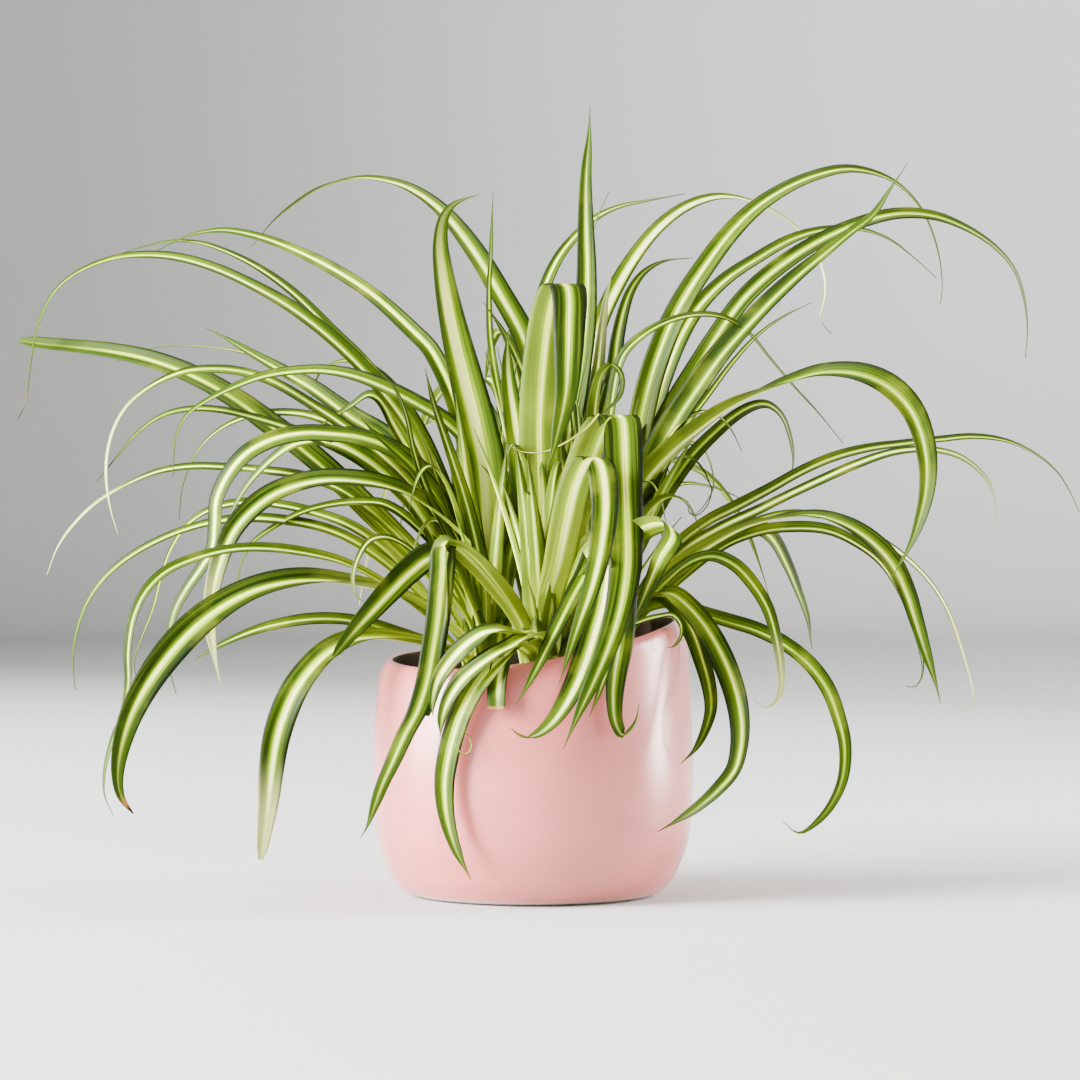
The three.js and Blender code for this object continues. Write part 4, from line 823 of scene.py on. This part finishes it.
def leaf_material():
    n = Nodes("spider_plant_leaf")
    across, across_mm, along_mm = n.attribute("across")
    share, under, chance = n.attribute("place")
    stripe, pale, dark = n.attribute("look")
    dried = n.add("ShaderNodeAttribute", attribute_name="dried").outputs["Fac"]
    edge = n.math("ABSOLUTE", across)
    own = n.times(chance, 60)
    drift = n.noise(n.vector(own, n.times(along_mm, 0.011), chance), 1, 1)
    lanes = n.vector(n.plus(across_mm, own), n.times(along_mm, 0.008), own)
    streak = n.noise(lanes, 0.6, 3, 0.6)
    fine = n.noise(lanes, 1.5, 2, 0.6)
    blotch = n.noise(n.vector(across_mm, along_mm, own), 0.04, 3)

    # How far a place is past the stripe's edge. The stripe is a little off centre,
    # its edge is ragged, and its width wanders along the leaf
    aside = n.times(n.minus(n.math("FRACT", own), 0.5), 0.36)
    inward = n.minus(1, n.times(across, across))
    place = n.math("ABSOLUTE", n.minus(across, n.times(aside, inward)))
    ragged = n.plus(n.times(streak, 0.5), n.times(fine, 0.22))
    place = n.plus(place, n.minus(ragged, 0.36))
    wander = n.times(n.minus(drift, 0.5), 0.12)
    half = n.times(stripe, n.scale(share, 0.65, 0.9))
    past = n.minus(place, n.plus(half, wander))

    # Dark margins, green inside them, then lime, and a cream core with lines in it
    base = n.step(share, 0.4, 0.05)
    tone = n.plus(n.times(dark, 0.8), n.times(drift, 0.3))
    line = n.step(n.plus(n.times(streak, 0.65), n.times(fine, 0.35)), 0.47, 0.56)
    green = n.blend(n.step(past, 0.03, 0.2), LEAF_LIGHT, LEAF_MID)
    green = n.blend(n.times(line, 0.3), green, LEAF_LIGHT)
    outer = n.times(n.step(past, 0.12, 0.34), tone)
    green = n.blend(n.times(outer, n.scale(line, 1, 0.6)), green, LEAF_DARK)
    rim = n.times(n.step(edge, n.scale(share, 0.82, 0.5), 0.97), n.scale(base, 0.85, 0.4))
    green = n.blend(rim, green, LEAF_EDGE)
    green = n.blend(n.times(base, n.scale(line, 0.4, 0.75)), green, LEAF_LIME)
    lime = n.blend(n.times(line, 0.5), LEAF_LIME, LEAF_LIGHT)
    top = n.blend(n.step(past, 0.06, -0.02), green, lime)
    core = n.times(n.step(past, -0.03, -0.1), n.scale(base, 1, 0.6))
    cream = n.blend(pale, STRIPE_LIME, STRIPE_CREAM)
    cream = n.blend(n.times(line, 0.5), cream, LEAF_LIME)
    top = n.blend(core, top, cream)

    # Paler underside, light blotches, and thin, dried or burnt tips
    colour = n.blend(n.times(under, 0.28), top, LEAF_UNDER)
    colour = n.blend(n.times(n.step(blotch, 0.5, 0.75), 0.1), colour, LEAF_LIME)
    tip_colour = n.blend(n.step(pale, 0.8, 0.92), LEAF_THREAD, LEAF_TIP)
    colour = n.blend(n.times(n.step(share, 0.72, 0.95), 0.85), colour, tip_colour)
    withered = n.times(n.step(share, 0.955, 0.985), n.step(dried, 0, 0.4))
    colour = n.blend(withered, colour, LEAF_DRY)
    charred = n.times(n.step(share, 0.975, 0.99), n.step(dried, 0.6, 0.9))
    colour = n.blend(charred, colour, LEAF_BLACK)

    rough = n.plus(n.scale(streak, 0.38, 0.52), n.times(under, 0.1))
    normal = n.bump(n.plus(streak, n.times(fine, 0.4)), 0.15, 0.0004)
    skin = n.result("ShaderNodeBsdfPrincipled", {
        "Base Color": colour, "Roughness": rough, "Normal": normal, "Specular IOR Level": 0.1,
    })
    glow = n.result("ShaderNodeBsdfTranslucent", {"Color": colour, "Normal": normal})
    return n.finish(n.result("ShaderNodeMixShader", {0: 0.2, 1: skin, 2: glow}))


def pot_material():
    n = Nodes("pink_glaze")
    place = n.position()
    x, y, height = n.split(place)
    cloud = n.noise(place, 14, 3, 0.55)
    grain = n.noise(place, 900, 2, 0.6)
    speck = n.noise(place, 420, 1)
    colour = n.blend(cloud, GLAZE, GLAZE_PALE)
    colour = n.blend(n.times(n.step(speck, 0.68, 0.76), 0.25), colour, GLAZE_SPECK)
    foot = n.step(height, 0.0035, 0.0005)
    colour = n.blend(foot, colour, BARE_CLAY)
    # Painted shade: the inner wall of the pot above the mix is coloured dark brown where it lies in
    # shade; there it is also rough and has no coat
    inside = n.times(n.step(n.from_axis(x, y), 0.0708, 0.07), n.step(height, 0.04, 0.06))
    colour = n.blend(inside, colour, POT_INSIDE_PAINTED_SHADE)
    rough = n.plus(n.scale(cloud, 0.26, 0.36), n.times(foot, 0.35))
    rough = n.math("MAXIMUM", rough, n.times(inside, 0.95))
    return n.surface({
        "Base Color": colour, "Roughness": rough, "Coat Weight": n.scale(inside, 1, 0),
        "Coat Roughness": 0.24,
        "Normal": n.bump(n.plus(n.times(grain, 0.06), cloud), 0.3, 0.0016),
    })


def mix_material():
    n = Nodes("damp_potting_mix")
    place = n.position()
    clod = n.noise(place, 160, 4, 0.65)
    fibre = n.noise(place, 700, 3, 0.7)
    colour = n.blend(n.step(clod, 0.3, 0.7), SOIL_DARK, SOIL_LIGHT)
    colour = n.blend(n.times(n.step(fibre, 0.58, 0.7), 0.5), colour, SOIL_FIBRE)
    return n.surface({
        "Base Color": colour, "Roughness": n.scale(fibre, 0.7, 0.95),
        "Normal": n.bump(n.plus(clod, n.times(fibre, 0.5)), 0.8, 0.002),
    })


def perlite_material():
    n = Nodes("perlite")
    pore = n.noise(n.position(), 900, 3, 0.6)
    return n.surface({
        "Base Color": n.blend(pore, PERLITE_DARK, PERLITE_LIGHT),
        "Roughness": n.scale(pore, 0.75, 0.95), "Normal": n.bump(pore, 0.6, 0.0006),
    })


def stage_material():
    """Painted shade: the stage is dimmer to the left of the front view, behind the plant too."""
    n = Nodes("pale_floor")
    place = n.position()
    x, y, height = n.split(place)
    soft = n.noise(place, 1.5, 2)
    reach = n.plus(n.from_axis(x, y), n.times(soft, 0.1))
    # Painted shade: far behind the plant and to the left the wall and far floor are darker, elsewhere
    # paler
    rightward = n.math("MAXIMUM", n.step(x, -0.9, 0.8), n.step(y, 2.8, 1.4))
    wall = n.blend(rightward, WALL_PAINTED_SHADE, WALL_PALE)
    far = n.blend(rightward, FLOOR_PAINTED_SHADE, FLOOR_PALE)
    ground = n.blend(n.step(reach, 0.3, 1.5), FLOOR_NEAR, far)
    return n.surface({
        "Base Color": n.blend(n.step(height, 0, 0.7), ground, wall),
        "Roughness": n.scale(soft, 0.7, 0.8), "Specular IOR Level": 0,
        "Normal": n.bump(n.noise(place, 260), 0.04, 0.0008),
    })


# Pot and potting mix

def rim_lift(x, y):
    t = np.clip((x - RIM_SWEEP_FROM) / RIM_SWEEP_RUN, 0, 1)
    return RIM_SWEEP * t ** RIM_SWEEP_POWER + RIM_BACK_SLOPE * y


def lathe(profile, sides):
    """Points and faces of a closed surface of revolution, with a point on the
    axis at each end."""
    angle = np.arange(sides) / sides * 2 * math.pi
    rings = [np.stack([r * np.cos(angle), r * np.sin(angle), np.full(sides, z)], axis=1)
             for r, z in profile]
    points = np.concatenate([[[0, 0, profile[0][1]]], *rings, [[0, 0, profile[-1][1]]]])
    faces = []
    last = len(points) - 1
    for i in range(sides):
        j = (i + 1) % sides
        faces.append([0, 1 + j, 1 + i])
        for ring in range(len(profile) - 1):
            a = 1 + ring * sides
            b = a + sides
            faces.append([a + i, a + j, b + j, b + i])
        faces.append([last - sides + i, last - sides + j, last])
    return points, faces


def pot_mesh():
    wall = smooth_route([*POT_OUTER, *POT_INNER], POT_SAMPLES).tolist()
    points, faces = lathe([*POT_FOOT, *wall, POT_FLOOR], POT_SIDES)
    share = ease((points[:, 2] - SWEEP_STARTS_AT) / (RIM_LEVEL - SWEEP_STARTS_AT))
    points[:, 2] = np.maximum(0, points[:, 2]) + rim_lift(points[:, 0], points[:, 1]) * share
    return new_mesh("pot_glazed", points * MM, faces, [True] * len(faces))


def mix_level(r):
    """Height of the mix at a distance from the axis."""
    return MIX_EDGE_Z + (MIX_MIDDLE_Z - MIX_EDGE_Z) * float(ease(1 - r / MIX_RADIUS))


def mix_mesh(draw):
    """Rough top of the mix, with crumbs and then perlite grains half sunk in it."""
    profile = [[MIX_FOOT_RADIUS, MIX_BOTTOM_Z], [MIX_RADIUS - 1, MIX_BOTTOM_Z]]
    profile += [[r, mix_level(r)] for r in np.linspace(MIX_RADIUS, 1, MIX_RINGS)]
    points, faces = lathe(profile, MIX_SIDES)
    for p in points:
        if p[2] > MIX_BOTTOM_Z + 1:
            large = noise.noise(Vector(p) * LARGE_LUMPS[0]) * LARGE_LUMPS[1]
            small = noise.noise(Vector(p) * SMALL_LUMPS[0] + Vector(LUMP_SHIFT)) * SMALL_LUMPS[1]
            p[2] += MIX_ROUGHNESS * (large + small)
    points = points.tolist()
    slots = [0] * len(faces)
    n = GRAIN_SIDES
    angles = [2 * math.pi * k / n for k in range(n)]
    grain = [[0, 0, 1], [0, 0, -1]]
    grain += [[math.cos(a), math.sin(a), h] for h in (0.5, -0.5) for a in angles]
    for i in range(CRUMBS + PERLITE):
        is_crumb = i < CRUMBS
        angle = draw(0, 2 * math.pi)
        r = (MIX_RADIUS - GRAIN_FROM_WALL) * math.sqrt(draw(0, 1))
        size = draw(*(CRUMB_SIZE if is_crumb else PERLITE_SIZE))
        z = mix_level(r) + size * GRAIN_LIFT
        centre = np.array([r * math.cos(angle), r * math.sin(angle), z])
        first = len(points)
        for corner in grain:
            reach = size * draw(*GRAIN_STRETCH)
            offset = np.array(corner) * [reach, reach, reach * GRAIN_FLATNESS]
            points.append((centre + offset).tolist())
        for k in range(n):
            j = (k + 1) % n
            upper = first + 2
            lower = upper + n
            faces.append([first, upper + k, upper + j])
            faces.append([upper + k, lower + k, lower + j, upper + j])
            faces.append([first + 1, lower + j, lower + k])
        slots += [0 if is_crumb else 1] * (3 * n)
    smooth = [slot == 0 for slot in slots]
    mesh = new_mesh("potting_mix_top", np.array(points) * MM, faces, smooth)
    mesh.polygons.foreach_set("material_index", slots)
    return mesh


# Leaves

def drawn(ranges, draw):
    return [draw(*each) for each in ranges]


def viewed_leaves(ribbons, chances):
    row = 0
    for name, leaves in LEAVES.items():
        for order, (size, lie, roll, route, *crease) in enumerate(leaves):
            line = viewed_line(CROWNS[name], size, lie, route, order)
            look = LOOKS.get(row) or drawn(CHANCE_LOOK, chances)
            fold, tilt = (CREASED_KEEL, crease[0]) if crease else (KEEL, None)
            ribbons[name].add(line, size, roll, look, chances(0, 1), fold, tilt)
            row += 1


def hidden_leaves(ribbons, chances):
    draw = Draws(SEED)
    orders = {name: len(leaves) for name, leaves in LEAVES.items()}
    for name, count, reach, rise, drop, width in FILL:
        crown = CROWNS[name]
        for i in range(count):
            share = (i + 0.5) / count
            turned = 2 * share - 1 + draw(-FILL_JITTER, FILL_JITTER)
            heading = facing(crown) + math.radians(FILL_SPREAD) * turned
            line = arch(crown, heading, *drawn([reach, rise, drop], draw), orders[name])
            roll = draw(-FILL_ROLL, FILL_ROLL)
            size = [draw(*width), FILL_TAPER]
            look = drawn(CHANCE_LOOK, chances)
            ribbons[name].add(line, size, [roll, roll], look, chances(0, 1))
            orders[name] += 1


def young_leaves(ribbon, crown, group, draw):
    """Young, nearly straight leaves that stand up inside the clump."""
    count, turned, spread, reach, rise = group
    middle = facing(crown) + math.radians(turned)
    t = np.linspace(0, 1, STATIONS + 1)[:, None]
    for i in range(count):
        out = outward(middle + math.radians(spread) * (2 * (i + 0.5) / count - 1))
        away = draw(*reach)
        start = np.array([*crown, start_height(i)]) + LEAF_START_OUT * out
        line = start + out * away * t ** INNER_LEAN_POWER + np.array([0, 0, draw(*rise)]) * t
        look = drawn(YOUNG_LOOK, draw)
        size = [draw(*INNER_WIDTH), INNER_TAPER]
        roll = draw(-INNER_ROLL, INNER_ROLL)
        ribbon.add(line, size, [roll, roll], look, draw(0, 1))


def sheaths(ribbon, crown, draw):
    """Broad pale leaf bases that clasp the stem, one behind another."""
    t = np.linspace(0, 1, SHEATH_STATIONS + 1)[:, None]
    for i in range(SHEATHS):
        out = outward(2 * math.pi * (i * GOLDEN))
        height = draw(*SHEATH_HEIGHT)
        foot = np.array([*crown, SHEATH_FOOT_Z]) + out * SHEATH_FOOT_OUT
        lean = out * (SHEATH_LEAN[0] * t + SHEATH_LEAN[1] * t ** 2)
        line = foot + lean + np.array([0, 0, height]) * t
        size = [draw(*SHEATH_WIDTH), SHEATH_TAPER, SHEATH_TIP_WIDTH]
        ribbon.add(line, size, [0, 0], SHEATH_LOOK, draw(0, 1), fold=SHEATH_KEEL)


def leafy_crowns():
    ribbons = {name: Ribbons() for name in CROWNS}
    chances = Draws(LOOK_SEED)
    viewed_leaves(ribbons, chances)
    hidden_leaves(ribbons, chances)
    for name, width, depth, route in CURLS:
        size = [width, CURL_TAPER, CURL_TIP_WIDTH]
        flat = smooth_route(pairs(route), STATIONS)
        line = at_depth(flat, np.linspace(*depth, STATIONS + 1))
        ribbons[name].add(line, size, [CURL_ROLL, CURL_ROLL], CURL_LOOK, chances(0, 1))
    for name, crown in CROWNS.items():
        young_leaves(ribbons[name], crown, INNER, chances)
        sheaths(ribbons[name], crown, chances)
    for name, crown in CROWNS.items():
        young_leaves(ribbons[name], crown, HEART, chances)
    return ribbons


leaf = leaf_material()
for crown_name, leaves in leafy_crowns().items():
    crown_piece = leaves.build(f"leaves_{crown_name}", leaf)
    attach(crown_piece, "root")
    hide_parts(f"crown_{crown_name}")

pot_piece = piece("pot_glazed", pot_mesh(), [pot_material()])
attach(pot_piece, "root")
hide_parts("pot")

mix_materials = [mix_material(), perlite_material()]
mix_piece = piece("potting_mix_top", mix_mesh(Draws(GRAIN_SEED)), mix_materials)
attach(mix_piece, "root")
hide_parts("potting_mix")


# Stage, light and camera

def stage():
    """Round floor that curves up into a wall all round."""
    profile = [[r, 0] for r in STAGE_RINGS]
    for k in range(1, STAGE_COVE_STEPS + 1):
        a = math.pi / 2 * k / STAGE_COVE_STEPS
        profile.append([STAGE_RADIUS + STAGE_COVE * math.sin(a), STAGE_COVE * (1 - math.cos(a))])
    profile.append([STAGE_RADIUS + STAGE_COVE, STAGE_HEIGHT])
    points, faces = lathe(profile, STAGE_SIDES)
    top = len(points) - 1
    faces = [[face[0], *face[:0:-1]] for face in faces if top not in face]
    mesh = new_mesh("floor", points[:top], faces, [True] * len(faces))
    floor = piece("floor", mesh, [stage_material()])


def aimed(name, data, place, aim):
    """Lamp or camera at a place, turned to its aim."""
    made = bpy.data.objects.new(name, data)
    made.location = place
    made.rotation_mode = "QUATERNION"
    made.rotation_quaternion = (Vector(aim) - Vector(place)).to_track_quat("-Z", "Y")
    bpy.context.scene.collection.objects.link(made)
    return made


def area_light(name, place, aim, size, power, colour=(1, 1, 1)):
    data = bpy.data.lights.new(name, "AREA")
    data.shape = "RECTANGLE"
    data.size, data.size_y = size
    data.energy = power
    data.color = colour
    aimed(name, data, place, aim)


def world_light():
    world = bpy.data.worlds.new("studio")
    world.use_nodes = True
    background = world.node_tree.nodes["Background"]
    background.inputs["Color"].default_value = (1, 1, 1, 1)
    background.inputs["Strength"].default_value = WORLD_STRENGTH
    bpy.context.scene.world = world


def camera():
    data = bpy.data.cameras.new("camera")
    data.sensor_width = SENSOR
    data.lens = SENSOR * EYE_DISTANCE / VIEW_WIDTH
    data.clip_end = 100
    eye = Vector((EYE_X, -EYE_DISTANCE, EYE_Z)) * MM
    aim = Vector((EYE_X, 0, AIM_Z)) * MM
    bpy.context.scene.camera = aimed("camera", data, eye, aim)


stage()
for light_name, light in LIGHTS.items():
    area_light(light_name, *light)
world_light()
camera()
